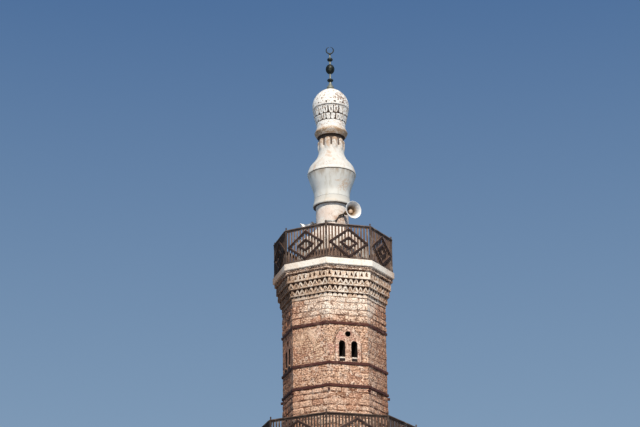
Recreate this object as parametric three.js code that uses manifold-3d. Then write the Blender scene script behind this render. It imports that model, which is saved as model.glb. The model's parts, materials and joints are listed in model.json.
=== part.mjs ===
// A coral-stone minaret. A square foot with an arched doorway carries two octagonal shafts,
// each laced with timber bands, pierced by pairs of slit windows and topped by a corbelled
// balcony with a slatted timber balustrade. A round lantern with a cup, a neck, a small dome
// and a crescent finial rises from a sloping plinth on the upper balcony.
// Millimetres, +Z up, ground level at z = 0, tower axis on Z, flats of the octagons on X and Y.

import * as THREE from 'three';
import { mergeVertices } from 'three/addons/utils/BufferGeometryUtils.js';
import { ConvexGeometry } from 'three/addons/geometries/ConvexGeometry.js';
import Module from 'manifold-3d';

const wasm = await Module();
wasm.setup();

// Driving dimensions

const GAP = 0.3; // left between neighbouring pieces
const SIDES = 8;
const HALF_ANGLE = Math.PI / SIDES;

const FOOT = {
  half: 2250, // half the width of the square
  inner: 1200, // half the width of the room
  height: 4300,
  floor: 150,
  doorHalf: 500,
  springing: 1850, // of the round arch, above the ground
};
const SHOULDER = { top: 5000, lip: 110 }; // broach from the square to the octagon

const LOWER = { name: 'lower', bottom: SHOULDER.top, ledgeTop: 12000, radius: 2180, inner: 1200 };
const UPPER = { name: 'upper', bottom: LOWER.ledgeTop, ledgeTop: 17970, radius: 1580, inner: 1060 };

const BAND = { height: 90, proud: 20, drops: [3860, 3180, 1955] }; // drops: ledge top to centre
const LEDGE = { height: 200, reach: 313 }; // reach: past the corner of the shaft
// Corbelled tiers from the bottom up: the tier's top below the ledge top, and how far
// its lower and upper edges stand past the corner of the shaft.
const CORBEL_BOTTOM = 1130;
const TIERS = [
  { top: 1005, low: 40, high: 60 },
  { top: 790, low: 95, high: 120 },
  { top: 580, low: 160, high: 185 },
  { top: 330, low: 215, high: 240 },
  { top: LEDGE.height, low: 225, high: 225 },
];

// A pair of round-headed slits under a small round eye, above the band's centre.
const WINDOW = { width: 160, sill: 220, height: 470, spread: 190, eyeHeight: 905, eyeRadius: 78 };
const WINDOW_WALLS = ['front', 'right', 'back', 'left'];

const BALUSTRADE = {
  height: 1095, // ledge to the top of the rail
  setback: 26, // from the ledge's corner
  railHeight: 70,
  railDepth: 90,
  kerbHeight: 70,
  kerbDepth: 60,
  slatThickness: 30,
  slatPitch: 97,
  slatWidth: 51,
  postRadius: 40,
  knobHeight: 100,
};

// Round base of the lantern: upright to its shoulder, then sloping in to the drum.
const PLINTH = { radius: 1140, shoulder: 18940, seat: 535, top: 19440 };
const DRUM = { radius: 510, inner: 360, top: 20210, doorHalf: 270, doorSpring: 1250 };
const DOME = { radius: 585, bottom: 23530, centre: 23660, point: 55, flat: 90 };
const NECK_LOBES = { count: 10, bottom: 22110, top: 22500, centre: 312, radius: 122 };
const CRESCENT = { outer: 138, inner: 100, lift: 10, opening: 0.14, depth: 34, centre: 25671 };
// The photograph's camera stands this far round from the front, and the crescent faces it.
const VIEW_TURN = THREE.MathUtils.degToRad(-16.4);

// Each horn: middle of its mouth, the way it points, mouth radius and overall length.
const HORNS = [
  { name: 'horn_front', mouth: [396, -1003, 19830], heading: -76.4, dip: 5, radius: 275, length: 500 },
  { name: 'horn_side', mouth: [-892, 262, 19530], heading: 163.6, dip: 28, radius: 190, length: 400 },
];

const ROUND = 24; // facets of the lantern
const FINE_ROUND = 12; // facets of the finial
const HORN_ROUND = 16;

// Materials

const finish = (color, roughness, metalness = 0) =>
  new THREE.MeshStandardMaterial({ color, roughness, metalness });
const stone = finish(0xc8a084, 0.95);
const timber = finish(0x5a3028, 0.85);
const slatTimber = finish(0x6a4e42, 0.9);
const limewash = finish(0xe4dccf, 0.9);
const plaster = finish(0xebe6dc, 0.85);
const bronze = finish(0x2b2f2a, 0.5, 0.7);
const hornPaint = finish(0xe8e8e6, 0.45, 0.1);

// Solids and booleans

function toSolid(geometry) {
  const bare = geometry.clone();
  bare.deleteAttribute('normal');
  bare.deleteAttribute('uv');
  const merged = mergeVertices(bare, 1e-3);
  return new wasm.Manifold(new wasm.Mesh({
    numProp: 3,
    vertProperties: Float32Array.from(merged.attributes.position.array),
    triVerts: Uint32Array.from(merged.index.array),
  }));
}

function toGeometry(solid) {
  const mesh = solid.getMesh();
  const geometry = new THREE.BufferGeometry();
  geometry.setAttribute('position', new THREE.BufferAttribute(mesh.vertProperties, 3));
  geometry.setIndex(new THREE.BufferAttribute(mesh.triVerts, 1));
  return geometry;
}

function cut(geometry, cutters) {
  let solid = toSolid(geometry);
  for (const cutter of cutters) solid = solid.subtract(toSolid(cutter));
  return toGeometry(solid);
}

function join(geometries) {
  const [first, ...rest] = geometries.map(toSolid);
  return toGeometry(rest.reduce((sum, solid) => sum.add(solid), first));
}

// Shapes

const group = new THREE.Group();

function place(name, geometry, material) {
  const mesh = new THREE.Mesh(geometry, material.clone());
  mesh.name = name;
  group.add(mesh);
  return mesh;
}

const cornerRadius = (apothem) => apothem / Math.cos(HALF_ANGLE);
const apothemOf = (radius) => radius * Math.cos(HALF_ANGLE);
const polar = (radius, angle) => new THREE.Vector2(radius * Math.cos(angle), radius * Math.sin(angle));
const octagon = (radius) =>
  Array.from({ length: SIDES }, (_, k) => polar(radius, (2 * k + 1) * HALF_ANGLE));

// A closed profile of [radius, height] points, listed up the outside, turned about Z.
function turned(profile, facets, start = 0) {
  const points = profile.map(([r, z]) => new THREE.Vector2(r, z));
  return new THREE.LatheGeometry(points, facets, start).rotateX(Math.PI / 2);
}

// The same for the octagonal pieces, with a plain hole of the given apothem.
function octagonalRing(outline, inner) {
  const hole = cornerRadius(inner);
  const bottom = outline[0][1];
  const top = outline[outline.length - 1][1];
  const profile = [[hole, bottom], ...outline, [hole, top], [hole, bottom]];
  return turned(profile, SIDES, HALF_ANGLE);
}

function extruded(shape, height, z) {
  return new THREE.ExtrudeGeometry(shape, { depth: height, bevelEnabled: false, curveSegments: 6 })
    .translate(0, 0, z);
}

// A shape drawn in x and z, pushed along Y from near to far.
function throughWall(shape, near, far) {
  return new THREE.ExtrudeGeometry(shape, { depth: far - near, bevelEnabled: false, curveSegments: 5 })
    .rotateX(Math.PI / 2)
    .translate(0, far, 0);
}

function block(x, y, z) {
  return new THREE.BoxGeometry(x[1] - x[0], y[1] - y[0], z[1] - z[0])
    .translate((x[0] + x[1]) / 2, (y[0] + y[1]) / 2, (z[0] + z[1]) / 2);
}

function roundHeaded(middle, bottom, springing, radius) {
  const shape = new THREE.Shape();
  shape.moveTo(middle - radius, bottom);
  shape.lineTo(middle + radius, bottom);
  shape.lineTo(middle + radius, springing);
  shape.absarc(middle, springing, radius, 0, Math.PI);
  return shape;
}

function roundHole(middle, height, radius) {
  return new THREE.Shape().absarc(middle, height, radius, 0, 2 * Math.PI);
}

// The square foot

function buildFoot() {
  const { half, inner, height, floor, doorHalf, springing } = FOOT;
  const room = inner - GAP;
  const threshold = block([GAP - doorHalf, doorHalf - GAP], [-half, -room + 1], [0, floor]);
  place('ground_floor', join([block([-room, room], [-room, room], [0, floor]), threshold]), limewash);
  place('foot_wall_back', block([-half, half], [inner, half], [0, height]), stone);
  place('foot_wall_left', block([-half, -inner], [-room, room], [0, height]), stone);
  place('foot_wall_right', block([inner, half], [-room, room], [0, height]), stone);
  place('doorway_jamb_left', block([-half, -doorHalf], [-half, -inner], [0, springing]), stone);
  place('doorway_jamb_right', block([doorHalf, half], [-half, -inner], [0, springing]), stone);
  const head = block([-half, half], [-half, -inner], [springing + GAP, height]);
  const arch = throughWall(roundHeaded(0, springing - 200, springing, doorHalf), -half - 100, 100 - inner);
  place('doorway_arch_wall', cut(head, [arch]), stone);
}

function buildShoulder() {
  const { half, height } = FOOT;
  const square = [[-half, -half], [half, -half], [half, half], [-half, half]];
  const points = [];
  for (const [x, y] of square) {
    points.push(new THREE.Vector3(x, y, height + GAP));
    points.push(new THREE.Vector3(x, y, height + SHOULDER.lip));
  }
  for (const p of octagon(LOWER.radius)) points.push(new THREE.Vector3(p.x, p.y, SHOULDER.top));
  const hole = extruded(
    new THREE.Shape(octagon(cornerRadius(LOWER.inner))), SHOULDER.top - height + 200, height - 100);
  place('octagon_shoulder', cut(new ConvexGeometry(points), [hole]), stone);
}

// One storey of the tower: courses between bands, corbels, ledge and balustrade

function buildCourse(stage, name, bottom, top) {
  place(`${stage.name}_${name}`,
    octagonalRing([[stage.radius, bottom + GAP], [stage.radius, top]], stage.inner), stone);
}

function buildBand(stage, name, centre) {
  const radius = stage.radius + BAND.proud;
  const half = BAND.height / 2;
  place(`${stage.name}_${name}`,
    octagonalRing([[radius, centre - half + GAP], [radius, centre + half]], stage.inner), timber);
}

// A quarter of the window course: the pierced wall and the blind wall beside it.
function buildWindowWalls(stage, bandCentre, bottom, top) {
  const firstCorner = -Math.PI / 2 - HALF_ANGLE;
  const outerRadius = stage.radius;
  const innerRadius = cornerRadius(stage.inner);
  const corners = [0, 1, 2].map((k) => firstCorner + 2 * k * HALF_ANGLE);
  const outer = corners.map((angle) => polar(outerRadius, angle));
  const inner = corners.map((angle) => polar(innerRadius, angle));
  outer[0].x += GAP;
  inner[0].x += GAP;
  const plan = new THREE.Shape([...outer, ...inner.reverse()]);
  const wall = extruded(plan, top - bottom - GAP, bottom + GAP);

  const near = -apothemOf(outerRadius) - 100;
  const far = -stage.inner + 100;
  const radius = WINDOW.width / 2;
  const sill = bandCentre + WINDOW.sill;
  const springing = sill + WINDOW.height - radius;
  const cutters = [-WINDOW.spread, WINDOW.spread].map(
    (middle) => throughWall(roundHeaded(middle, sill, springing, radius), near, far));
  cutters.push(throughWall(
    roundHole(0, bandCentre + WINDOW.eyeHeight, WINDOW.eyeRadius), near, far));
  const geometry = cut(wall, cutters);

  WINDOW_WALLS.forEach((side, k) => {
    const mesh = place(`${stage.name}_window_wall_${side}`, geometry.clone(), stone);
    mesh.rotation.z = k * Math.PI / 2;
  });
}

function buildCorbels(stage) {
  const outline = [];
  let edge = CORBEL_BOTTOM - GAP;
  for (const tier of TIERS) {
    outline.push([stage.radius + tier.low, stage.ledgeTop - edge]);
    outline.push([stage.radius + tier.high, stage.ledgeTop - tier.top]);
    edge = tier.top;
  }
  place(`${stage.name}_corbel_tiers`, octagonalRing(outline, stage.inner), limewash);
}

function buildLedge(stage, hole) {
  const shape = new THREE.Shape(octagon(stage.radius + LEDGE.reach));
  shape.holes.push(hole);
  const bottom = stage.ledgeTop - LEDGE.height + GAP;
  place(`${stage.name}_balcony_floor`, extruded(shape, stage.ledgeTop - bottom, bottom), limewash);
}

// One flat side of the balustrade with the post at its left end, built at the front.
function balustradeSide(stage) {
  const b = BALUSTRADE;
  const outerFace = apothemOf(stage.radius + LEDGE.reach - b.setback);
  const middle = outerFace - b.railDepth / 2;
  const corner = middle * Math.tan(HALF_ANGLE);
  const left = -corner;
  const right = corner - b.postRadius - GAP;
  const railBottom = b.height - b.railHeight;
  const lap = 20; // of the slats into the rail and the kerb

  const low = b.kerbHeight - lap;
  const high = railBottom + lap;
  const half = b.slatThickness / 2;
  const first = left + b.postRadius + b.slatPitch - b.slatWidth;
  const count = Math.floor((right - first) / b.slatPitch);
  const spread = (right - first - b.slatWidth) / (count - 1);
  const slats = Array.from({ length: count }, (_, k) => block(
    [first + k * spread, first + k * spread + b.slatWidth], [-middle - half, -middle + half], [low, high]));
  const along = (depth, z) => block([left, right], [-middle - depth / 2, -middle + depth / 2], z);
  const rail = along(b.railDepth, [railBottom, b.height]);
  const kerb = along(b.kerbDepth, [0, b.kerbHeight]);
  const knob = b.height + b.knobHeight;
  const post = turned([
    [0, 0], [b.postRadius, 0], [b.postRadius, b.height + 10], [b.postRadius * 0.55, b.height + 30],
    [b.postRadius * 0.8, b.height + 65], [0, knob],
  ], SIDES, HALF_ANGLE).translate(left, -middle, 0);
  return join([post, rail, kerb, ...slats]);
}

function buildBalustrade(stage) {
  const side = balustradeSide(stage);
  for (let k = 0; k < SIDES; k += 1) {
    const mesh = place(`${stage.name}_balustrade_${k + 1}`, side.clone(), slatTimber);
    mesh.rotation.z = 2 * k * HALF_ANGLE;
    mesh.position.z = stage.ledgeTop + GAP;
  }
}

function buildStage(stage, floorHole) {
  const centres = BAND.drops.map((drop) => stage.ledgeTop - drop);
  const half = BAND.height / 2;
  const corbelBottom = stage.ledgeTop - CORBEL_BOTTOM;
  buildCourse(stage, 'shaft_foot', stage.bottom, centres[0] - half);
  buildBand(stage, 'band_low', centres[0]);
  buildCourse(stage, 'shaft_middle', centres[0] + half, centres[1] - half);
  buildBand(stage, 'band_middle', centres[1]);
  buildWindowWalls(stage, centres[1], centres[1] + half, centres[2] - half);
  buildBand(stage, 'band_high', centres[2]);
  buildCourse(stage, 'shaft_head', centres[2] + half, corbelBottom);
  buildCorbels(stage);
  buildLedge(stage, floorHole);
  buildBalustrade(stage);
}

// The lantern

function buildDrum() {
  const { radius, inner, top, doorHalf, doorSpring } = DRUM;
  const base = turned([
    [0, UPPER.ledgeTop + GAP], [PLINTH.radius, UPPER.ledgeTop + GAP],
    [PLINTH.radius, PLINTH.shoulder], [PLINTH.seat, PLINTH.top], [0, PLINTH.top],
  ], ROUND);
  const bottom = PLINTH.top + GAP;
  const ring = turned(
    [[inner, bottom], [radius, bottom], [radius, top], [inner, top], [inner, bottom]], ROUND);
  const well = turned([[0, UPPER.bottom], [inner, UPPER.bottom], [inner, top], [0, top]], ROUND);
  const springing = UPPER.ledgeTop + doorSpring;
  const door = throughWall(
    roundHeaded(0, UPPER.ledgeTop - 50, springing, doorHalf), inner / 2, PLINTH.radius + 100);
  place('lantern_plinth', cut(base, [well, door]), plaster);
  place('lantern_drum', cut(ring, [door]), plaster);
}

function buildCup() {
  const bottom = DRUM.top + GAP;
  place('lantern_cup', turned([
    [0, bottom], [604, bottom], [600, 20270], [566, 20440], [558, 20600], [574, 20700],
    [614, 20840], [668, 21000], [716, 21140], [765, 21290], [0, 21290],
  ], ROUND), plaster);
}

function buildNeck() {
  const { count, bottom, top, centre, radius } = NECK_LOBES;
  const shaft = turned([
    [0, 21290 + GAP], [765, 21290 + GAP], [763, 21360], [718, 21495], [660, 21595], [598, 21670],
    [515, 21775], [450, 21890], [412, 22010], [400, 22150], [370, 22200], [370, 22580], [0, 22580],
  ], ROUND);
  const lobes = [];
  for (let k = 0; k < count; k += 1) {
    const angle = -Math.PI / 2 + VIEW_TURN + (k + 0.5) * 2 * Math.PI / count;
    const middle = polar(centre, angle);
    lobes.push(new THREE.CylinderGeometry(radius, radius, top - bottom, 10).rotateX(Math.PI / 2)
      .translate(middle.x, middle.y, (top + bottom) / 2));
  }
  place('lantern_neck', join([shaft, ...lobes]), plaster);
}

function buildHead() {
  const bottom = 22580 + GAP;
  place('lantern_head', turned([
    [0, bottom], [455, bottom], [498, 22650], [528, 22725], [516, 22760], [484, 22820], [456, 22890],
    [452, 23010], [466, 23020], [522, 23245], [540, 23260], [572, 23500],
    [560, DOME.bottom], [0, DOME.bottom],
  ], ROUND), plaster);
}

function buildDome() {
  const { radius, bottom, centre, point, flat } = DOME;
  const steps = 7;
  const last = Math.acos(flat / radius);
  const profile = [[0, bottom + GAP], [572, bottom + GAP], [radius, bottom + 30]];
  for (let k = 0; k <= steps; k += 1) {
    const angle = last * k / steps;
    const rise = radius + point * (angle / (Math.PI / 2)) ** 3;
    profile.push([radius * Math.cos(angle), centre + rise * Math.sin(angle)]);
  }
  const top = profile[profile.length - 1][1];
  profile.push([0, top]);
  place('lantern_dome', turned(profile, ROUND), plaster);
  return top;
}

// A ball between two necks, as profile points from its lower neck to its upper one.
function ball(centre, width, height, neck) {
  const steps = 4;
  const end = Math.asin(neck / width);
  const points = [];
  for (let k = 0; k <= steps; k += 1) {
    const angle = end + (Math.PI - 2 * end) * k / steps;
    points.push([width * Math.sin(angle), centre - height * Math.cos(angle)]);
  }
  return points;
}

function buildFinial(seat) {
  const stem = turned([
    [0, seat + GAP], [92, seat + GAP], [118, 24335], [118, 24362], [64, 24440], [40, 24520],
    ...ball(24603, 98, 57, 34), [28, 24710], [28, 24800],
    ...ball(24997, 142, 168, 30), [24, 25200], [24, 25250],
    ...ball(25338, 90, 62, 26), [20, 25430], [20, 25560], [0, 25560],
  ], FINE_ROUND);
  const { outer, inner, lift, opening, depth, centre } = CRESCENT;
  const up = Math.PI / 2;
  const moon = new THREE.Shape();
  moon.absarc(0, 0, outer, up + opening, up + 2 * Math.PI - opening);
  moon.absarc(0, lift, inner, up + 2 * Math.PI - opening, up + opening, true);
  const crescent = new THREE.ExtrudeGeometry(moon, { depth, bevelEnabled: false, curveSegments: 12 })
    .translate(0, 0, -depth / 2)
    .rotateX(Math.PI / 2)
    .rotateZ(VIEW_TURN)
    .translate(0, 0, centre);
  place('crescent_finial', join([stem, crescent]), bronze);
}

// A loudspeaker horn: a flared bell with its driver, and a bracket back to the drum.
function buildHorn({ name, mouth, heading, dip, radius, length }) {
  const bell = length * 0.68;
  const skin = 9;
  const throat = radius * 0.2;
  const driver = 62;
  const body = turned([
    [0, -length], [driver, -length], [driver, -bell - 20], [throat + skin, -bell - 10],
    [radius * 0.3 + skin, -bell * 0.72], [radius * 0.58 + skin, -bell * 0.36],
    [radius * 0.86 + skin, -bell * 0.1], [radius, -skin], [radius, 0], [radius - skin, 0],
    [radius * 0.84, -bell * 0.1], [radius * 0.56, -bell * 0.36], [radius * 0.3, -bell * 0.72],
    [throat, -bell], [0, -bell * 0.62],
  ], HORN_ROUND);
  const turn = new THREE.Euler(
    0, THREE.MathUtils.degToRad(90 + dip), THREE.MathUtils.degToRad(heading), 'ZYX');
  const matrix = new THREE.Matrix4().makeRotationFromEuler(turn).setPosition(...mouth);
  body.applyMatrix4(matrix);

  const rear = new THREE.Vector3(0, 0, -length + driver).applyMatrix4(matrix);
  const reach = Math.hypot(rear.x, rear.y);
  const around = Math.atan2(rear.y, rear.x);
  const bracket = block([DRUM.inner, reach], [-30, 30], [-35, 35]);
  bracket.rotateZ(around).translate(0, 0, rear.z);
  const seat = DRUM.radius + GAP / Math.cos(Math.PI / ROUND);
  const drum = turned([[0, LOWER.bottom], [seat, LOWER.bottom], [seat, DRUM.top], [0, DRUM.top]], ROUND);
  place(name, cut(join([body, bracket]), [drum]), hornPaint);
}

buildFoot();
buildShoulder();
buildStage(LOWER, new THREE.Path(octagon(cornerRadius(UPPER.inner)).reverse()));
buildStage(UPPER, new THREE.Path().absarc(0, 0, DRUM.inner, 0, 2 * Math.PI));
buildDrum();
buildCup();
buildNeck();
buildHead();
buildFinial(buildDome());
HORNS.forEach(buildHorn);

export default group;
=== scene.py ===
# A coral-stone minaret: coursed masonry laced with timber bands, twin slit windows, niched
# corbel tiers under slatted balustrades, and a plastered lantern with a crescent finial.
# Metres, in the frame of the CAD model.

import json
import math
import random
from types import SimpleNamespace as Sizes

import bmesh
import bpy
from mathutils import Euler, Matrix, Vector, noise


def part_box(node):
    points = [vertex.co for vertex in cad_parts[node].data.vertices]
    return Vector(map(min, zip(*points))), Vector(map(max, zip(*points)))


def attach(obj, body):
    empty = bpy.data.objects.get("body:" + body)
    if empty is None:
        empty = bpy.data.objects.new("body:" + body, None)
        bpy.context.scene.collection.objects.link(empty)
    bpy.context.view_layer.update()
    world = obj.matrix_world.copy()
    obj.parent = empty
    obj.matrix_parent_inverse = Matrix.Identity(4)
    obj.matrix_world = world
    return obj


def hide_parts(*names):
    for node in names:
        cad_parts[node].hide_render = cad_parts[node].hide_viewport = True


noise.seed_set(1)  # noise_vector depends on it, and would otherwise be seeded by the clock

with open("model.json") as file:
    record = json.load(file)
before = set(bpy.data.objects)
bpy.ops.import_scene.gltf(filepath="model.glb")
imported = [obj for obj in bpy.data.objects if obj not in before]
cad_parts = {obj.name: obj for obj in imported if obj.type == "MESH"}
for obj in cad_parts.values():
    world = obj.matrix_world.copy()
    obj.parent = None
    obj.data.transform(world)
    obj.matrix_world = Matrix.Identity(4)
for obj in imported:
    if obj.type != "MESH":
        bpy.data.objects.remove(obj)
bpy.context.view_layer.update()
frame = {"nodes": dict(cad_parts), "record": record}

# Driving dimensions

SIDES = 8
SIDE_TURN = math.tau / SIDES
FRONT = -math.pi / 2  # direction of the first side, then counterclockwise
CORNER = math.tan(math.pi / SIDES)  # half a side's width for each metre of its distance
UP = Vector((0, 0, 1))
WINDOW_SIDES = (0, 2, 4, 6)
BLIND_ARCH_SIDES = (3, 7)

BED = -0.02  # how far stones and timbers are set into the wall behind them
ROUGH = Sizes(height=0.195, length=0.33, joint=0.022, proud=0.017, wear=0.021, dent=0.013)
FLUSH = Sizes(height=0.190, length=0.31, joint=0.011, proud=0.006, wear=0.010, dent=0.007)
RUBBLE = Sizes(height=0.085, length=0.13, joint=0.014, proud=0.004, wear=0.010, dent=0.008)
FACE_STEP = 0.075  # between the points across a stone's face
LOW_STONE = 0.12  # a stone lower than this has no points along its middle
COURSE_WAVE = 0.022  # how far a course wanders from its level
COURSE_FADE = 0.15  # the wandering dies out over this height at each end of a wall
CORNER_STONES = (0.6, 1.25)  # share of the length that a short and a long corner stone gets
SUNK_STONES = 0.05  # share of the stones that are sunk and dark
BAND = Sizes(proud=0.018, lap=0.035)
STUB = Sizes(drop=0.075, width=0.06, height=0.07, reach=0.06)

# The window group and the blind arches, above the centre of the middle band.
WINDOW = Sizes(bared=0.196, sill=0.185, height=0.515, spread=0.19, eye=0.905, eye_radius=0.088)
# Of an arch's stones: how far they stand proud, their number, and the share of one that is joint.
WINDOW_ARCH = Sizes(
    half=0.40, spring=0.64, rise=0.515, foot=0.055, ring=0.05, proud=0.011, count=23, joint=0.06)
BLIND_ARCH = Sizes(
    half=0.215, spring=0.40, rise=0.45, foot=0.055, ring=0.05, proud=0.012, count=17, joint=0.06)
BLIND_MIDDLES = (-0.11, 0.37)
SPANDREL_TOP = 1.10
PLASTER_GAP = 0.006
PLASTER_PROUD = {"window": 0.004, "blind": 0.009}
# Under a window: how far below the sill line, the reach to each side, and the depth and height.
SILL = Sizes(drop=0.024, reach=0.080, size=(0.064, 0.044))
# A dark timber block under each sill, which also serves as painted shade under the sill.
SILL_SHADE_BLOCK = Sizes(drop=0.078, reach=0.084, size=(0.044, 0.070))
SILL_WASH_AND_SHADE = {0: 0.76, 2: 0.62, 4: 0.48, 6: 0.34}  # how much limewash the sills have left; the low tone on the shaded side 6 is also painted shade
DOORWAY_ARCH = dict(ring=0.24, proud=0.022, count=15, joint=0.035)

NICHE_DEPTH = 0.09
TIER_LEAN = 0.012  # how far the face of a tier leans back at its top
CELLS = 8
LEDGE_ROUND = 0.014
LEDGE_FLAT = 0.30  # from the arris in to the next ring of points
LEDGE_STEPS = 14  # points along each side

# The lozenges' half width and half height are those on a side of the given half width.
BALUSTRADE = Sizes(
    setback=0.026, inset=0.045, height=1.095,
    rail=(0.105, 0.034), under_rail=(0.045, 0.042), kerb=(0.055, 0.07),
    slat=(0.051, 0.026), pitch=0.097, post=0.038, frame=(0.080, 0.028), capping=(0.054, 0.020),
    half=0.714, large=(0.60, 0.435), small=(0.25, 0.165), middle=0.505,
)
DRUM_INNER = 0.36
# The spring is above the upper ledge. The cut starts behind the axis and runs back from there.
DOOR = Sizes(half=0.27, spring=1.25, cut_from=0.15, cut_depth=1.1)
HORNS = {
    "horn_front": dict(mouth=(0.396, -1.003, 19.83), heading=-76.4, dip=5, radius=0.275, length=0.50),
    "horn_side": dict(mouth=(-0.892, 0.262, 19.53), heading=163.6, dip=28, radius=0.19, length=0.40),
}

# Heights at which a finish starts, is full, fades and ends.
REMAINS_HEIGHTS = ((15.75, 16.5, 17.62, 17.66), (9.75, 10.5, 11.64, 11.68))
NECK_FOOT = (21.36, 21.42, 21.9, 22.2)
UNDER_COLLAR = (22.0, 22.45, 22.60, 22.64)
COLLAR = (22.60, 22.62, 22.72, 22.88)
DRUM = (18.4, 18.6, 19.95, 20.2)
CUP_RIM = (20.95, 21.26, 21.36, 21.38)

# The photograph is taken as 640 pixels wide, with the eye 1.6 m above the ground.
CAMERA = Sizes(distance=50.0, eye=1.6, turn=-16.373, yaw=-0.4401, pitch=20.2371, roll=-0.7159)
FOCAL_PIXELS = 1700.0
PHOTO_WIDTH = 640.0
SENSOR_MM = 36.0
VIEW_TURN = math.radians(CAMERA.turn)

# Azimuth, altitude, strength, softness and colour.
SUNS = {
    "key": (-100, 43, 3.85, 3, (1.0, 0.935, 0.84)),
    "fill": (-170, 15, 0.08, 60, (1.0, 0.76, 0.52)),
    "bounce": (-95, -22, 0.38, 120, (1.0, 0.66, 0.40)),
}


# Meshes

class Pile:
    """Collects closed shapes, each vertex with a tone and a place along its grain, into one mesh."""

    def __init__(self):
        self.points, self.faces, self.tones, self.grains = [], [], [], []

    def add(self, points, faces, tone=0.5, grains=None):
        start = len(self.points)
        self.points += [tuple(p) for p in points]
        self.faces += [[start + i for i in face] for face in faces]
        self.tones += tone if isinstance(tone, list) else [tone] * len(points)
        self.grains += grains or [(0.0, 0.0, 0.0)] * len(points)

    def mesh(self, name):
        mesh = bpy.data.meshes.new(name)
        mesh.from_pydata(self.points, [], self.faces)
        mesh.attributes.new("tone", "FLOAT", "POINT").data.foreach_set("value", self.tones)
        return mesh

    def make(self, name, material, slot, *replaced, smooth=40):
        mesh = self.mesh(name)
        grains = [x for grain in self.grains for x in grain]
        mesh.attributes.new("grain", "FLOAT_VECTOR", "POINT").data.foreach_set("vector", grains)
        finish_piece(mesh, name, material, replaced, smooth)


def face_outwards(mesh):
    bm = bmesh.new()
    bm.from_mesh(mesh)
    bmesh.ops.recalc_face_normals(bm, faces=bm.faces)
    bm.to_mesh(mesh)
    bm.free()


def link(name, data):
    made = bpy.data.objects.new(name, data)
    bpy.context.scene.collection.objects.link(made)
    return made


def finish_piece(mesh, name, material, replaced, smooth=40):
    face_outwards(mesh)
    mesh.shade_smooth()
    mesh.set_sharp_from_angle(angle=math.radians(smooth))
    mesh.materials.append(material)
    piece = link(name, mesh)
    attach(piece, "root")
    if replaced:
        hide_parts(*replaced)


def modified(holder, kind, **settings):
    """The mesh that one modifier makes of an object. The object is removed."""
    step = holder.modifiers.new("step", kind)
    for key, value in settings.items():
        setattr(step, key, value)
    depsgraph = bpy.context.evaluated_depsgraph_get()
    mesh = bpy.data.meshes.new_from_object(holder.evaluated_get(depsgraph))
    bpy.data.objects.remove(holder)
    return mesh


def dents(point, scale, amount):
    return noise.noise(Vector(point) * scale) * amount


class Side:
    """One flat side of the tower: points along it, up it and out of it."""

    def __init__(self, direction, distance, corner=CORNER):
        self.out = Vector((math.cos(direction), math.sin(direction), 0))
        self.along = Vector((-math.sin(direction), math.cos(direction), 0))
        self.distance = distance
        self.corner = corner

    def at(self, u, z, out=0.0):
        return self.out * (self.distance + out) + self.along * u + UP * z

    def half(self, out=0.0):
        return self.corner * (self.distance + out)


def octagon_sides(distance):
    return [Side(FRONT + k * SIDE_TURN, distance) for k in range(SIDES)]


def distance_of(node):
    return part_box(node)[1].x


def heights_of(node):
    low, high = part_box(node)
    return low.z, high.z


def wrap(count, rings, closed=False):
    """Faces round successive rings of count points, closed into a loop or with an end at each."""
    faces = []
    for i in range(rings if closed else rings - 1):
        low, high = i * count, (i + 1) % rings * count
        for k in range(count):
            n = (k + 1) % count
            faces.append([low + k, low + n, high + n, high + k])
    if not closed:
        faces += [list(range(count))[::-1], list(range((rings - 1) * count, rings * count))]
    return faces


def revolve(pile, profile, segments, tone=0.5, swell=None, matrix=None, holes=None):
    """Turns a profile of (radius, height) about Z. Radius 0 is a pole. tone may depend on radius
    and height, swell changes a radius, and holes says which faces are sunk."""
    points, tones, rings = [], [], []
    for radius, height in profile:
        count = segments if radius else 1
        rings.append(range(len(points), len(points) + count))
        tones += [tone(radius, height) if callable(tone) else tone] * count
        for k in range(count):
            angle = k * math.tau / segments
            r = swell(radius, angle, height) if swell else radius
            points.append(Vector((r * math.cos(angle), r * math.sin(angle), height)))
    faces = []
    for level, (low, high) in enumerate(zip(rings, rings[1:])):
        for k in range(segments):
            n = (k + 1) % segments
            corners = low[k % len(low)], low[n % len(low)], high[n % len(high)], high[k % len(high)]
            face = list(dict.fromkeys(corners))
            faces += recess(points, tones, face) if holes and holes(level, k) else [face]
    if matrix:
        points = [matrix @ p for p in points]
    pile.add(points, faces, tones)


def recess(points, tones, corners, depth=0.06):
    """Sinks one face of a turned shape towards the axis, and tones the hole near black: painted shade
    inside it.
    """
    inner = []
    for i in corners:
        inner.append(len(points))
        points.append(points[i] - Vector((points[i].x, points[i].y, 0)).normalized() * depth)
        tones.append(0.0)
    walls = [[corners[i], corners[(i + 1) % 4], inner[(i + 1) % 4], inner[i]] for i in range(4)]
    return [*walls, inner]


def plank(pile, start, end, across, size, tone, steps, wobble, edge, rng):
    """A sawn timber from start to end: size is its width along across, and its depth. wobble is how
    uneven it is, and edge how wide its worn arrises are."""
    axis = (end - start).normalized()
    across = (across - axis * across.dot(axis)).normalized()
    deep = axis.cross(across)
    w, d = size[0] / 2, size[1] / 2
    section = [
        (w - edge, -d), (w, -d + edge), (w, d - edge), (w - edge, d),
        (-w + edge, d), (-w, d - edge), (-w, -d + edge), (-w + edge, -d),
    ]
    length = (end - start).length
    shift = rng.uniform(0, 50)
    points, grains = [], []
    for i in range(steps + 1):
        centre = start + axis * length * i / steps
        for a, b in section:
            p = centre + across * a + deep * b
            points.append(p + noise.noise_vector(p * 7 + UP * shift) * wobble)
            grains.append((length * i / steps + shift, a, b))
    pile.add(points, wrap(len(section), steps + 1), tone, grains)


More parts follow.
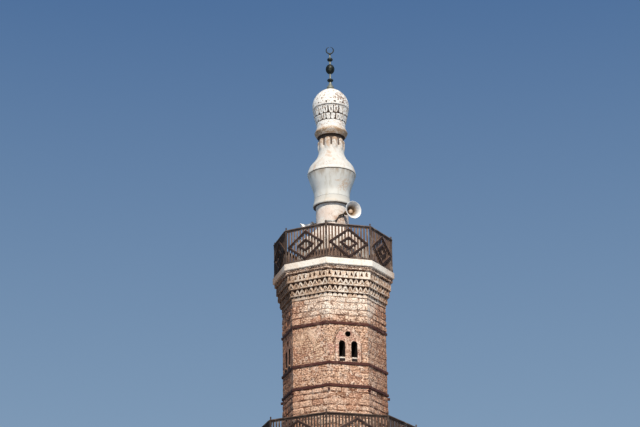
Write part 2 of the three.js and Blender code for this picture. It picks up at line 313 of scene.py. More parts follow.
def plate(outline, holes=()):
    """A flat plate from 0 to 1 deep, as points and faces."""
    curve = bpy.data.curves.new("outline", "CURVE")
    curve.dimensions = "2D"
    curve.fill_mode = "BOTH"
    curve.extrude = 0.5
    for ring in (outline, *holes):
        spline = curve.splines.new("POLY")
        spline.points.add(len(ring) - 1)
        for point, (x, y) in zip(spline.points, ring):
            point.co = (x, y, 0, 1)
        spline.use_cyclic_u = True
    holder = bpy.data.objects.new("outline", curve)
    bm = bmesh.new()
    bm.from_mesh(holder.to_mesh())
    bmesh.ops.remove_doubles(bm, verts=bm.verts, dist=1e-5)
    points = [(v.co.x, v.co.y, v.co.z + 0.5) for v in bm.verts]
    faces = [[v.index for v in face.verts] for face in bm.faces]
    bm.free()
    bpy.data.objects.remove(holder)
    bpy.data.curves.remove(curve)
    return points, faces


def arc(centre, radius, start, end, steps):
    angles = [math.radians(start + (end - start) * i / steps) for i in range(steps + 1)]
    return [(centre[0] + radius * math.cos(a), centre[1] + radius * math.sin(a)) for a in angles]


def arch_shift(half, rise):
    """How far the centre of each arc of a pointed arch lies beyond its middle."""
    return (rise * rise - half * half) / (2 * half)


def pointed_arch(half, spring, rise, steps=10):
    """Points of a pointed arch from its right springing over the top to the left one."""
    shift = arch_shift(half, rise)
    right = arc((-shift, spring), half + shift, 0, math.degrees(math.atan2(rise, shift)), steps)
    return right + [(-x, z) for x, z in reversed(right[:-1])]


def arch_half(arch, height, extra=0.0):
    """Half the width of an arch at a height, 0 above it. extra widens it."""
    half, rise = arch.half + extra, arch.rise + extra
    above = height - arch.spring
    if above <= 0:
        return half
    if above >= rise:
        return 0.0
    shift = arch_shift(half, rise)
    return max(0.0, math.sqrt((half + shift) ** 2 - above * above) - shift)


# Materials

SQUAT = (1, 1, 1.4)  # marks a little wider than high
SHADE_BLACK = (0.035, 0.022, 0.017)


class Finish:
    """A Principled material. body is its colour so far, and lay and stain add to it."""

    def __init__(self, name):
        self.material = bpy.data.materials.new(name)
        self.material.use_nodes = True
        self.tree = self.material.node_tree
        self.shader = self.tree.nodes["Principled BSDF"]
        self.place = self.node("TexCoord").outputs["Object"]
        self.tone = self.node("Attribute", attribute_name="tone").outputs["Fac"]
        self.body = None

    def put(self, socket, value):
        if isinstance(value, bpy.types.NodeSocket):
            self.tree.links.new(value, socket)
        else:
            socket.default_value = value

    def node(self, kind, inputs=None, **settings):
        made = self.tree.nodes.new("ShaderNode" + kind)
        for key, value in settings.items():
            setattr(made, key, value)
        for key, value in (inputs or {}).items():
            self.put(made.inputs[key], value)
        return made

    def stretched(self, scale, vector=None):
        made = self.node("Mapping", {"Vector": vector or self.place, "Scale": scale})
        return made.outputs["Vector"]

    def noise(self, scale, detail=4, distortion=0, vector=None, roughness=0.55):
        """vector may also be a scale for the place."""
        if isinstance(vector, tuple):
            vector = self.stretched(vector)
        return self.node("TexNoise", {
            "Vector": vector or self.place, "Scale": scale, "Detail": detail,
            "Roughness": roughness, "Distortion": distortion,
        }).outputs["Fac"]

    def pits(self, scale, vector=None):
        cells = self.node("TexVoronoi", {"Vector": vector or self.place, "Scale": scale})
        return cells.outputs["Distance"]

    def ramp(self, value, low, high, to_low=0, to_high=1):
        """A smooth ramp over a value, or over the noise that a tuple describes."""
        if isinstance(value, tuple):
            value = self.noise(*value)
        return self.node("MapRange", {
            "Value": value, "From Min": low, "From Max": high, "To Min": to_low, "To Max": to_high,
        }, interpolation_type="SMOOTHSTEP").outputs["Result"]

    def math(self, operation, first, second=0.0):
        return self.node("Math", {0: first, 1: second}, operation=operation).outputs["Value"]

    def times(self, first, second):
        return self.math("MULTIPLY", first, second)

    def plus(self, first, second):
        return self.math("ADD", first, second)

    def mix(self, factor, first, second, blend="MIX"):
        made = self.node("Mix", data_type="RGBA", blend_type=blend)
        for i, value in ((0, factor), (6, first), (7, second)):
            self.put(made.inputs[i], (*value, 1) if isinstance(value, tuple) else value)
        return made.outputs[2]

    def lay(self, color, factor, blend="MIX"):
        self.body = self.mix(factor, self.body, color, blend)

    def stain(self, value, low, high, to_low, to_high, color):
        self.lay(color, self.ramp(value, low, high, to_low, to_high))

    def vectors(self, operation, first, second):
        """The number that an operation on two vectors gives."""
        return self.node("VectorMath", {0: first, 1: second}, operation=operation).outputs["Value"]

    def height(self):
        return self.node("SeparateXYZ", {"Vector": self.place}).outputs["Z"]

    def between(self, value, start, full, fade, end):
        """1 between full and fade, falling to 0 at start and end."""
        return self.times(self.ramp(value, start, full), self.ramp(value, fade, end, 1, 0))

    def towards(self, degrees):
        """How far a point lies from the axis towards a horizontal direction."""
        direction = (math.cos(math.radians(degrees)), math.sin(math.radians(degrees)), 0)
        return self.vectors("DOT_PRODUCT", self.place, direction)

    def near(self, x, y, z, radius):
        """1 at a point, falling to 0 at a distance, with a ragged edge."""
        away = self.vectors("DISTANCE", self.place, (x, y, z))
        ragged = self.times(away, self.ramp((5, 6, 0.6), 0.3, 0.7, 0.6, 1.7))
        return self.ramp(ragged, radius * 0.35, radius, 1, 0)

    def use(self, roughness, bump, strength=0.5, distance=0.01, metallic=0.0):
        self.put(self.shader.inputs["Base Color"], self.body)
        self.put(self.shader.inputs["Roughness"], roughness)
        self.shader.inputs["Metallic"].default_value = metallic
        if bump:
            relief = self.node("Bump", {"Height": bump, "Strength": strength, "Distance": distance})
            self.put(self.shader.inputs["Normal"], relief.outputs["Normal"])
        return self.material


def coral(f, weight=0.8):
    """Lays the pores, stains and worm holes of coral stone over the colour, and gives their relief. Its
    dark flecks and holes are the stone's own dark spots and also painted shade in its pits.
    """
    f.stain((12, 7, 0.9), 0.50, 0.62, 0, 0.5 * weight, (0.38, 0.19, 0.12))
    f.stain((6.5, 7, 0.6), 0.52, 0.61, 0, 0.75 * weight, (0.88, 0.69, 0.55))
    grit = f.noise(40, 6)
    f.stain(grit, 0.38, 0.58, 0.45 * weight, 0, (0.26, 0.135, 0.085))
    flecks = f.noise(21, 5, 0.5, SQUAT)
    f.stain(flecks, 0.55, 0.62, 0, 0.95 * weight, (0.105, 0.048, 0.03))
    f.stain(flecks, 0.37, 0.45, 0.6 * weight, 0, (0.93, 0.76, 0.61))
    # The holes are painted near black: painted shade inside them.
    holes = f.pits(13, f.stretched(SQUAT))
    shaded_holes = f.times(f.ramp(holes, 0.14, 0.24, 1, 0), f.ramp((2.4,), 0.38, 0.50))
    f.lay((0.055, 0.026, 0.018), f.times(shaded_holes, 0.95 * weight))
    return f.plus(grit, f.plus(f.ramp(holes, 0.08, 0.3), f.ramp(flecks, 0.44, 0.66, 1.6, 0)))


def shade_away_from_sun(f):
    """Painted shade: darker on the sides that face away from the sun."""
    f.lay((0.62, 0.47, 0.385), f.ramp(f.towards(-95), 0.1, 1.45, 1, 0), "MULTIPLY")


def limewash_remains(f):
    """What is left of an old coat under the corbels, in soft patches across stones and joints."""
    # The pale patches are strongest on the sides towards the sun, which is partly painted light.
    sunny = f.ramp(f.towards(-98), 0.2, 1.4, 0.3, 1)
    top, low = (f.between(f.height(), *span) for span in REMAINS_HEIGHTS)
    patches = f.times(f.noise(2.3, 8, 1.3, None, 0.68), f.times(f.plus(top, low), sunny))
    f.stain(patches, 0.28, 0.46, 0, 0.7, (0.94, 0.78, 0.63))
    f.stain(patches, 0.46, 0.58, 0, 0.75, (0.97, 0.85, 0.71))


def patched(f):
    """A worn patch of old plaster on the blind wall at front left, and redder ones by the window."""
    scar = f.plus(f.near(-1.12, -0.98, 15.62, 0.62), f.near(-0.90, -1.16, 15.15, 0.40))
    f.lay(f.mix(f.noise(8, 6), (0.60, 0.39, 0.26), (0.90, 0.69, 0.50)), f.times(scar, 0.6))
    red = f.plus(f.near(-0.46, -1.46, 15.22, 0.28), f.near(-0.24, -1.46, 15.58, 0.18))
    f.lay((0.62, 0.33, 0.26), f.times(red, f.ramp((11, 5), 0.40, 0.60, 0.1, 0.6)))


def cracks(f, amount):
    """Broken brown cracks that wander across stones and joints, most of them under the upper corbels."""
    drift = f.node("TexNoise", {"Vector": f.place, "Scale": 5, "Detail": 4}).outputs["Color"]
    bent = f.node("VectorMath", {0: drift, 1: (0.22, 0.22, 0.22), 2: f.place}, operation="MULTIPLY_ADD")
    cells = {"Vector": bent.outputs["Vector"], "Scale": 6.5}
    edges = f.node("TexVoronoi", cells, feature="DISTANCE_TO_EDGE")
    broken = f.times(f.ramp(edges.outputs["Distance"], 0.02, 0.09, 1, 0), f.ramp((4, 5), 0.42, 0.54))
    f.lay((0.19, 0.09, 0.05), f.times(broken, f.ramp(f.height(), 15.6, 15.9, amount * 0.35, amount)))


def stone_finish(name, dark, light, weight, cracked):
    """Coral stone. The tone of each stone runs from dark at 0 to pale at 1."""
    f = Finish(name)
    f.body = f.mix(f.ramp(f.tone, 0, 1), dark, light)
    f.stain((1.7, 6, 0.6), 0.38, 0.66, 0, 0.6, tuple((a + b) / 2 for a, b in zip(dark, light)))
    f.stain((0.9, 5, 1), 0.54, 0.70, 0, 0.35, (0.62, 0.30, 0.205))
    relief = coral(f, weight)
    limewash_remains(f)
    patched(f)
    cracks(f, cracked)
    shade_away_from_sun(f)
    return f.use(0.95, relief, 0.9, 0.014)


def mortar_finish(name, dark, light, washed=False, window=False):
    """Rubble and mortar. By a window it turns dark inside the holes."""
    f = Finish(name)
    f.body = f.mix(f.ramp((5, 6), 0.35, 0.7), dark, light)
    relief = coral(f)
    if washed:
        bare = f.body
        limewash_remains(f)
        f.body = f.mix(0.32, bare, f.body)
    shade_away_from_sun(f)
    if window:
        axes = f.node("SeparateXYZ", {"Vector": f.place}).outputs
        nearest = f.math("MINIMUM", *(f.math("ABSOLUTE", axes[axis]) for axis in "XY"))
        f.stain(nearest, 0.39, 0.43, 1, 0, SHADE_BLACK)
    return f.use(1, relief, 0.7, 0.01)


def wash_finish(name, grime):
    """Cream limewash over stone. The tone runs from near black at 0, painted shade in the niches, over
    brown and tan to cream at 1.
    grime is how brown it has gone, and how much painted shade it takes on the sides that the sun doesn't
    reach."""
    f = Finish(name)
    cream = f.mix(f.noise(14, 5), (0.78, 0.71, 0.60), (0.93, 0.88, 0.79))
    tan = f.mix(f.noise(9, 6, 0.6), (0.60, 0.43, 0.30), (0.82, 0.66, 0.50))
    rubbed = f.times(f.noise(8, 7, 0.9), f.ramp(f.tone, 0.35, 1, 1.5, 0.62))
    f.body = f.mix(f.ramp(rubbed, 0.42, 0.62), cream, tan)
    f.stain((2.2, 7, 0.7), 0.50, 0.66, 0, 0.35, (0.70, 0.52, 0.38))
    f.stain((5, 5, 0.2, (1, 1, 0.12)), 0.56, 0.75, 0, 0.45, (0.46, 0.33, 0.22))
    dirt = f.times(f.noise(17, 6, 0.7), f.ramp(f.tone, 0.3, 0.95, 1.25, 0.8))
    f.stain(dirt, 0.50 - 0.05 * grime, 0.58, 0, 0.85, (0.22, 0.125, 0.07))
    grit = f.noise(45, 5)
    f.stain(grit, 0.34, 0.5, 0.5, 0, (0.44, 0.33, 0.24))
    f.stain(f.tone, 0.45, 0.88, 0.45, 0, (0.74, 0.58, 0.45))
    f.lay((0.52, 0.35, 0.235), 0.22 * grime)
    # Painted shade on the sides that the sun doesn't reach.
    sunless = f.ramp(f.towards(-80), 0, 1.1, grime, 0)
    f.lay((0.235, 0.155, 0.10), f.times(sunless, f.ramp(rubbed, 0.2, 0.6, 0.6, 1)))
    # Near black where the tone is low: painted shade in the niches.
    f.stain(f.tone, 0, 0.36, 1, 0, (0.085, 0.04, 0.022))
    shade_away_from_sun(f)
    return f.use(0.92, f.plus(grit, f.ramp(dirt, 0.46, 0.62, 0.8, 0)), 0.6, 0.008)


def plaster_finish():
    """White lime plaster with brown rain streaks, soiled under the rims and beside the horn."""
    f = Finish("lantern_plaster")
    height = f.height()
    f.body = f.mix(f.noise(8, 6), (0.61, 0.585, 0.525), (0.78, 0.765, 0.715))
    # Painted shade that tones down the neck's upward slope, which faces the sun.
    f.lay((0.88, 0.88, 0.88), f.between(height, *NECK_FOOT), "MULTIPLY")
    grime = f.noise(15, 6, 0.6)
    f.stain(grime, 0.50, 0.64, 0, 0.45, (0.56, 0.47, 0.37))
    streaks = f.noise(6, 6, 0.3, (1, 1, 0.16))
    blots = f.noise(3.4, 7, 0.9)
    stain = f.times(f.ramp(streaks, 0.48, 0.66), f.ramp(blots, 0.42, 0.60))
    f.lay((0.50, 0.35, 0.24), f.times(stain, 0.7))
    soiled = f.times(f.between(height, *UNDER_COLLAR), f.ramp((8, 7, 0.9), 0.38, 0.54, 0.15, 1))
    f.lay((0.36, 0.235, 0.145), f.times(soiled, 0.9))
    collar = f.times(f.between(height, *COLLAR), f.ramp(grime, 0.36, 0.52, 0.35, 1))
    f.lay((0.34, 0.225, 0.13), f.times(collar, 0.95))
    f.stain(height, 22.8, 23.0, 0, 0.45, (0.90, 0.88, 0.83))
    specks = f.noise(19, 6, 0.8)
    upper = f.times(f.ramp(height, 22.7, 23.0), f.ramp(specks, 0.54, 0.60))
    f.lay((0.28, 0.18, 0.11), f.times(upper, 0.8))
    soot = f.times(f.near(0.20, -0.50, 23.80, 0.36), f.ramp(specks, 0.46, 0.56, 0.05, 1))
    f.lay((0.22, 0.13, 0.085), f.times(soot, 0.9))
    pink = f.times(f.between(height, *DRUM), f.ramp((2, 6, 0.8), 0.38, 0.62, 0.1, 0.55))
    f.lay((0.70, 0.53, 0.43), pink)
    by_horn = f.times(f.near(0.13, -0.50, 19.66, 0.34), f.ramp((22, 5), 0.42, 0.60, 0.35, 1))
    f.lay((0.34, 0.21, 0.135), f.times(by_horn, 0.85))
    crumbs = f.times(f.ramp(f.pits(14), 0.10, 0.20, 1, 0), f.ramp(blots, 0.50, 0.62))
    f.lay((0.24, 0.15, 0.10), f.times(crumbs, 0.8))
    f.stain(f.tone, 0.5, 0.8, 0.35, 0, (0.62, 0.52, 0.42))
    # Near black where the tone is low: painted shade between the lobes, behind the tongues, in the
    # dome's holes and inside the drum.
    f.stain(f.tone, 0, 0.45, 1, 0, (0.06, 0.033, 0.02))
    ragged = f.plus(f.times(f.towards(-112), -0.6), f.times(f.noise(6, 6), 0.2))
    bare = f.ramp(f.plus(height, ragged), 17.86, 17.98, 1, 0)
    f.lay(f.mix(grime, (0.15, 0.08, 0.055), (0.46, 0.31, 0.23)), f.times(bare, 0.92))
    return f.use(0.8, f.plus(f.noise(48, 5), blots), 0.4, 0.007)


def cup_finish():
    """Smooth grey-cream render of the cup, with rust-brown blots on the right."""
    f = Finish("cup_render")
    f.body = f.mix(f.noise(5, 5, 0.5), (0.59, 0.575, 0.52), (0.72, 0.71, 0.655))
    f.lay((0.54, 0.51, 0.45), f.times(f.ramp(f.height(), 20.44, 20.50, 1, 0), 0.8))
    f.stain((2.6, 7, 1.2), 0.54, 0.70, 0, 0.5, (0.60, 0.48, 0.35))
    rust = f.plus(f.near(0.29, -0.55, 20.86, 0.30), f.near(0.12, -0.60, 20.72, 0.24))
    f.lay((0.54, 0.36, 0.22), f.times(rust, f.ramp((16, 6, 1.4), 0.46, 0.58, 0, 0.6)))
    streaks = f.noise(9, 6, 0.3, (1, 1, 0.14))
    f.stain(streaks, 0.52, 0.70, 0, 0.5, (0.46, 0.42, 0.34))
    rim = f.times(f.between(f.height(), *CUP_RIM), f.ramp(streaks, 0.36, 0.6, 0.1, 0.75))
    f.lay((0.42, 0.34, 0.25), rim)
    f.stain(f.tone, 0, 0.45, 1, 0, (0.10, 0.065, 0.045))
    return f.use(0.7, f.noise(40), 0.3, 0.004)


def infill_finish():
    """Pinkish plaster round the windows, with paler and redder patches."""
    f = Finish("window_plaster")
    f.body = f.mix(f.noise(3, 6, 0.6), (0.54, 0.335, 0.24), (0.74, 0.53, 0.40))
    f.stain((5.5, 6, 0.8), 0.54, 0.66, 0, 0.6, (0.86, 0.71, 0.58))
    f.stain((4.2, 5, 0.5, (1.3, 1.3, 0.9)), 0.52, 0.62, 0, 0.8, (0.60, 0.28, 0.215))
    relief = coral(f, 0.95)
    patched(f)
    shade_away_from_sun(f)
    return f.use(0.95, relief, 0.7, 0.01)


def timber_finish(name, dark, light, grey):
    """Weathered timber: fibres run along the grain attribute, and each piece has its own tone. It is
    darker on the sides away from the sun, which is painted shade.
    """
    f = Finish(name)
    grain = f.node("Attribute", attribute_name="grain").outputs["Vector"]
    fibres = f.noise(3, 6, 0.6, f.stretched((1.2, 42, 42), grain))
    f.body = f.mix(f.ramp(fibres, 0.30, 0.70), dark, light)
    f.stain(f.tone, 0, 1, 0.5, 0, dark)
    f.stain((4.5, 6, 0.4), 0.50, 0.70, 0, 0.6, grey)
    # Painted shade on the sides away from the sun.
    sunless_timber_shade = f.ramp(f.towards(-80), 0.1, 0.8, 1, 0)
    f.lay((0.55, 0.52, 0.50), sunless_timber_shade, "MULTIPLY")
    return f.use(0.85, fibres, 0.5, 0.004)


def metal_finish(name, dark, light, roughness, metallic, scale=9, toned=None):
    """Blotched metal or paint. toned is a second pair of colours, for a tone of 1."""
    f = Finish(name)
    blots = f.noise(scale, 6, 0.4)
    f.body = f.mix(f.ramp(blots, 0.38, 0.66), dark, light)
    if toned:
        f.stain(f.tone, 0.5, 1, 0, 1, f.mix(blots, *toned))
    rough = f.ramp((scale * 2, 5), 0.3, 0.7, roughness - 0.08, roughness + 0.1)
    return f.use(rough, f.noise(60), 0.12, 0.002, metallic)


PARGING = ((0.36, 0.20, 0.13), (0.60, 0.38, 0.26))
WHITE_ENAMEL = ((0.66, 0.64, 0.60), (0.86, 0.85, 0.82))
PALE_PATINA = ((0.14, 0.15, 0.12), (0.34, 0.34, 0.28))

stone = stone_finish("coral_stone", (0.58, 0.31, 0.19), (0.93, 0.63, 0.435), 1, 0.45)
dressed_stone = stone_finish("dressed_coral", (0.60, 0.31, 0.195), (0.99, 0.72, 0.53), 0.6, 0.9)
dark_rubble = stone_finish("dark_rubble", (0.42, 0.28, 0.185), (0.98, 0.84, 0.69), 0.7, 0.3)
mortar = mortar_finish("mortar", (0.15, 0.066, 0.035), (0.34, 0.18, 0.105), washed=True)
parging = mortar_finish("parging", *PARGING, washed=True)
window_core = mortar_finish("window_core", *PARGING, window=True)
# Dark brown for the core behind the niche cells: painted shade.
soot = mortar_finish("niche_painted_shade", (0.17, 0.075, 0.038), (0.36, 0.185, 0.10))
infill_plaster = infill_finish()
limewash = wash_finish("limewash", 0.15)
niche_limewash = wash_finish("niche_limewash", 0.75)
plaster = plaster_finish()
cup_render = cup_finish()
band_timber, slat_timber, rail_timber, lower_timber, dark_timber = (
    timber_finish(f"{name}_timber", *colors) for name, *colors in (
        ("band", (0.045, 0.013, 0.010), (0.14, 0.05, 0.035), (0.20, 0.115, 0.085)),
        ("slat", (0.085, 0.05, 0.035), (0.28, 0.18, 0.125), (0.36, 0.285, 0.23)),
        ("rail", (0.065, 0.042, 0.032), (0.20, 0.145, 0.115), (0.34, 0.29, 0.25)),
        ("lower", (0.045, 0.028, 0.021), (0.135, 0.09, 0.068), (0.25, 0.20, 0.165)),
        ("dark", (0.018, 0.009, 0.008), (0.055, 0.028, 0.022), (0.10, 0.065, 0.052)),
    )
)
bronze = metal_finish(
    "bronze_patina", (0.010, 0.013, 0.011), (0.05, 0.055, 0.042), 0.5, 0.4, 14, PALE_PATINA)
horn_enamels = {
    node: metal_finish(name, dark, light, 0.4, 0, toned=WHITE_ENAMEL) for node, name, dark, light in (
        ("horn_front", "horn_enamel", (0.10, 0.055, 0.025), (0.30, 0.19, 0.095)),
        ("horn_side", "grey_horn_enamel", (0.13, 0.145, 0.165), (0.25, 0.27, 0.30)),
    )
}
horn_plug = metal_finish("horn_plug", (0.38, 0.22, 0.12), (0.66, 0.50, 0.36), 0.45, 0)
iron = metal_finish("dark_iron", (0.02, 0.018, 0.016), (0.09, 0.07, 0.055), 0.6, 0.5, 20)
zinc = metal_finish("grey_steel", (0.22, 0.22, 0.21), (0.45, 0.45, 0.43), 0.5, 0.3, 16)


# Masonry

def rough_stone(pile, side, lefts, rights, zs, bond, rng, tone, proud, turns):
    """One stone with a dented face and worn, uneven edges. lefts and rights are its ends at the
    bottom and top. turns says which of them lie at a corner of the tower, where it runs to the mitre."""
    wear = bond.wear * rng.uniform(0.8, 1.3)
    fall = rng.uniform(0.45, 0.8) * (abs(proud) + 0.003)
    length = sum(rights) / 2 - sum(lefts) / 2
    cuts = max(2, round(length / FACE_STEP))
    shares = [0.0, wear / length, *[i / cuts for i in range(1, cuts)], 1 - wear / length, 1.0]
    low, high = zs
    rows = [low, low + wear, (low + high) / 2, high - wear, high]
    if high - low < LOW_STONE:
        rows.pop(2)
    wide, last, top = len(shares), len(shares) - 1, len(rows) - 1
    points = []
    for j, z in enumerate(rows):
        rise = (z - low) / (high - low)
        left, right = (a + (b - a) * rise for a, b in (lefts, rights))
        for i, share in enumerate(shares):
            u = left + (right - left) * share
            at_corner = (i == 0 and turns[0]) or (i == last and turns[1])
            edges = (i in (0, last) and not at_corner) + (j in (0, top))
            p = side.at(u, z)
            out = proud - fall * edges
            if edges == 0:
                out += dents(p, 7.0, bond.dent) + dents(p, 19.0, bond.dent * 0.6)
            if at_corner:
                u = math.copysign(side.half(out), u)
            elif edges:
                rounding = wear * 0.4 if edges == 2 else 0.0
                u += dents(p + UP * 31, 13.0, wear * 0.6) + rounding * (0.5 - share) * 2
                z += dents(p + UP * 57, 13.0, wear * 0.6) + rounding * (0.5 - rise) * 2
            points.append(side.at(u, z, out))
    faces = [
        [j * wide + i, j * wide + i + 1, (j + 1) * wide + i + 1, (j + 1) * wide + i]
        for j in range(top) for i in range(last)
    ]
    rim = [*range(wide), *(j * wide + last for j in range(1, top + 1))]
    rim += [top * wide + i for i in range(last - 1, -1, -1)] + [j * wide for j in range(top - 1, 0, -1)]
    back = len(points)
    for i in rim:
        points.append(points[i] + side.out * (side.distance + BED - points[i].dot(side.out)))
    for k in range(len(rim)):
        n = (k + 1) % len(rim)
        faces.append([rim[n], rim[k], back + k, back + n])
    faces.append([back + k for k in range(len(rim))][::-1])
    pile.add(points, faces, tone)


def row_of_stones(pile, side, zs, lefts, rights, bond, rng, corners=(None, None)):
    """Stones between two ends, each given at the bottom and top of the row. corners gives, for an
    end at the tower's corner, whether its stone is long, its tone and how proud it is."""
    joint = bond.joint / 2
    left, right = sum(lefts) / 2, sum(rights) / 2
    count = max(1, round((right - left) / bond.length))
    weights = [rng.uniform(0.6, 1.4) for _ in range(count)]
    for end, corner in zip((0, -1), corners):
        if corner:
            weights[end] = CORNER_STONES[corner[0]]
    cuts = [left]
    for weight in weights:
        cuts.append(cuts[-1] + weight * (right - left) / sum(weights))
    for k in range(count):
        turns = k == 0 and bool(corners[0]), k == count - 1 and bool(corners[1])
        tone, proud = rng.betavariate(2.0, 1.7), bond.proud + rng.uniform(-0.4, 0.3) * bond.proud
        if rng.random() < SUNK_STONES:
            tone, proud = tone * 0.3, proud - bond.proud * 1.3
        for turn, corner in zip(turns, corners):
            if turn:
                tone, proud = corner[1:]
        low = lefts if k == 0 else (cuts[k], cuts[k])
        high = rights if k == count - 1 else (cuts[k + 1], cuts[k + 1])
        low = low if turns[0] else (low[0] + joint, low[1] + joint)
        high = high if turns[1] else (high[0] - joint, high[1] - joint)
        rough_stone(pile, side, low, high, zs, bond, rng, tone, proud, turns)


def lay_courses(pile, sides, heights, bond, seed, opening=None):
    """Courses of stones round all sides. opening gives the left and right end of what a side's
    stones have to leave free at a height, or None."""
    rng = random.Random(seed)
    low, high = heights
    count = max(1, round((high - low) / bond.height))
    weights = [rng.uniform(0.82, 1.18) for _ in range(count)]
    joint = bond.joint / 2
    start = len(pile.points)
    bottom = low
    for course, weight in enumerate(weights):
        top = bottom + weight * (high - low) / sum(weights)
        zs = (bottom + joint, top - joint)
        looks = [(rng.betavariate(2.4, 1.8), bond.proud * rng.uniform(0.8, 1.3)) for _ in sides]
        for k, side in enumerate(sides):
            ends = (-side.half(),) * 2, (side.half(),) * 2
            corners = [((course + k) % 2 == 0, *looks[n]) for n in (k, (k + 1) % len(sides))]
            gap = opening(k, zs[0]) if opening else None
            if gap is None:
                row_of_stones(pile, side, zs, *ends, bond, rng, corners)
                continue
            above = opening(k, zs[1]) or (sum(gap) / 2,) * 2
            row_of_stones(pile, side, zs, ends[0], (gap[0], above[0]), bond, rng, (corners[0], None))
            row_of_stones(pile, side, zs, (gap[1], above[1]), ends[1], bond, rng, (None, corners[1]))
        bottom = top
    for i in range(start, len(pile.points)):
        x, y, z = pile.points[i]
        taper = max(0.0, min(1.0, (z - low) / COURSE_FADE, (high - z) / COURSE_FADE))
        pile.points[i] = (x, y, z + taper * dents((x, y, z * 0.6), 2.2, COURSE_WAVE))


def arch_stones(pile, side, centre, arch, rng):
    """Stones set along a pointed arch, each a wedge standing proud of the wall."""
    count, joint = arch.count, arch.joint
    inner = pointed_arch(arch.half, arch.spring, arch.rise, 12)
    total = len(inner) - 1
    for k in range(count):
        ends = []
        for share in ((k + joint) / count, (k + 1 - joint) / count):
            at = share * total
            i = min(int(at), total - 1)
            (x0, z0), (x1, z1) = inner[i], inner[i + 1]
            length = math.hypot(x1 - x0, z1 - z0)
            x, z = x0 + (x1 - x0) * (at - i), z0 + (z1 - z0) * (at - i)
            ends.append((x, z, (z1 - z0) / length, (x0 - x1) / length))
        reach = arch.ring * rng.uniform(0.88, 1.08)
        face = arch.proud + rng.uniform(-0.003, 0.003)
        first, second = ([(x, z), (x + nx * reach, z + nz * reach)] for x, z, nx, nz in ends)
        corners = first + second[::-1]
        mid = (sum(x for x, _ in corners) / 4, sum(z for _, z in corners) / 4)
        worn = [(x + (mid[0] - x) * 0.15, z + (mid[1] - z) * 0.15) for x, z in corners]
        levels = [(corners, BED), (corners, face - 0.007), (worn, face)]
        points = [side.at(centre[0] + x, centre[1] + z, out) for loop, out in levels for x, z in loop]
        pile.add(points, wrap(4, len(levels)), rng.uniform(0.6, 1.0))


def on_wall(pile, side, centre, shape, proud):
    points, faces = shape
    placed = [side.at(centre[0] + x, centre[1] + z, BED + t * (proud - BED)) for x, z, t in points]
    pile.add(placed, faces, 0.7)


def window_infill():
    """The plastered panel round the two slits and the eye, cut through with them."""
    w, arch, edge = WINDOW, WINDOW_ARCH, PLASTER_GAP
    radius = w.bared / 2
    outline = [(-arch.half + edge, arch.foot), (arch.half - edge, arch.foot)]
    outline += pointed_arch(arch.half - edge, arch.spring, arch.rise - edge)
    holes = [arc((0, w.eye), w.eye_radius, 0, 337.5, 15)]
    for middle in (-w.spread, w.spread):
        foot = [(middle - radius, w.sill), (middle + radius, w.sill)]
        holes.append(foot + arc((middle, w.sill + w.height - radius), radius, 0, 180, 8))
    return plate(outline, holes)


def spandrel():
    """The smooth plaster between the two blind arches and above them."""
    extra = BLIND_ARCH.ring + 0.008
    left, right = BLIND_MIDDLES
    middle = (left + right) / 2
    whole = pointed_arch(BLIND_ARCH.half + extra, BLIND_ARCH.spring, BLIND_ARCH.rise + extra, 16)
    from_left = [(left + x, z) for x, z in whole if 0 <= x and left + x < middle - PLASTER_GAP]
    from_right = [(right + x, z) for x, z in whole if x <= 0 and right + x > middle + PLASTER_GAP]
    tip = (middle, from_left[0][1] - 0.03)
    return plate([*from_right, tip, *from_left, (left, SPANDREL_TOP), (right, SPANDREL_TOP)])


def wall_opening(stage):
    """Says what the stones of a side leave free at a height: the window or the blind arches."""
    centre = sum(heights_of(f"{stage}_band_middle")) / 2

    def ends(k, z):
        height = z - centre
        if k in WINDOW_SIDES:
            half = arch_half(WINDOW_ARCH, height, WINDOW_ARCH.ring)
            return (-half, half) if half > 0.03 else None
        if k in BLIND_ARCH_SIDES and height <= SPANDREL_TOP:
            half = arch_half(BLIND_ARCH, height, BLIND_ARCH.ring)
            return BLIND_MIDDLES[0] - half, BLIND_MIDDLES[1] + half
        return None
    return ends


def fill_arch(pile, side, middle, base, arch, rng):
    """Small stones that block an arch."""
    z = arch.foot + 0.01
    while z < arch.spring + arch.rise - 0.05:
        top = z + RUBBLE.height * rng.uniform(0.8, 1.3)
        low, high = (arch_half(arch, h) - 0.004 for h in (z, top))
        if high < 0.02:
            break
        zs = (base + z, base + top - RUBBLE.joint)
        lefts, rights = (middle - low, middle - high), (middle + low, middle + high)
        row_of_stones(pile, side, zs, lefts, rights, RUBBLE, rng)
        z = top


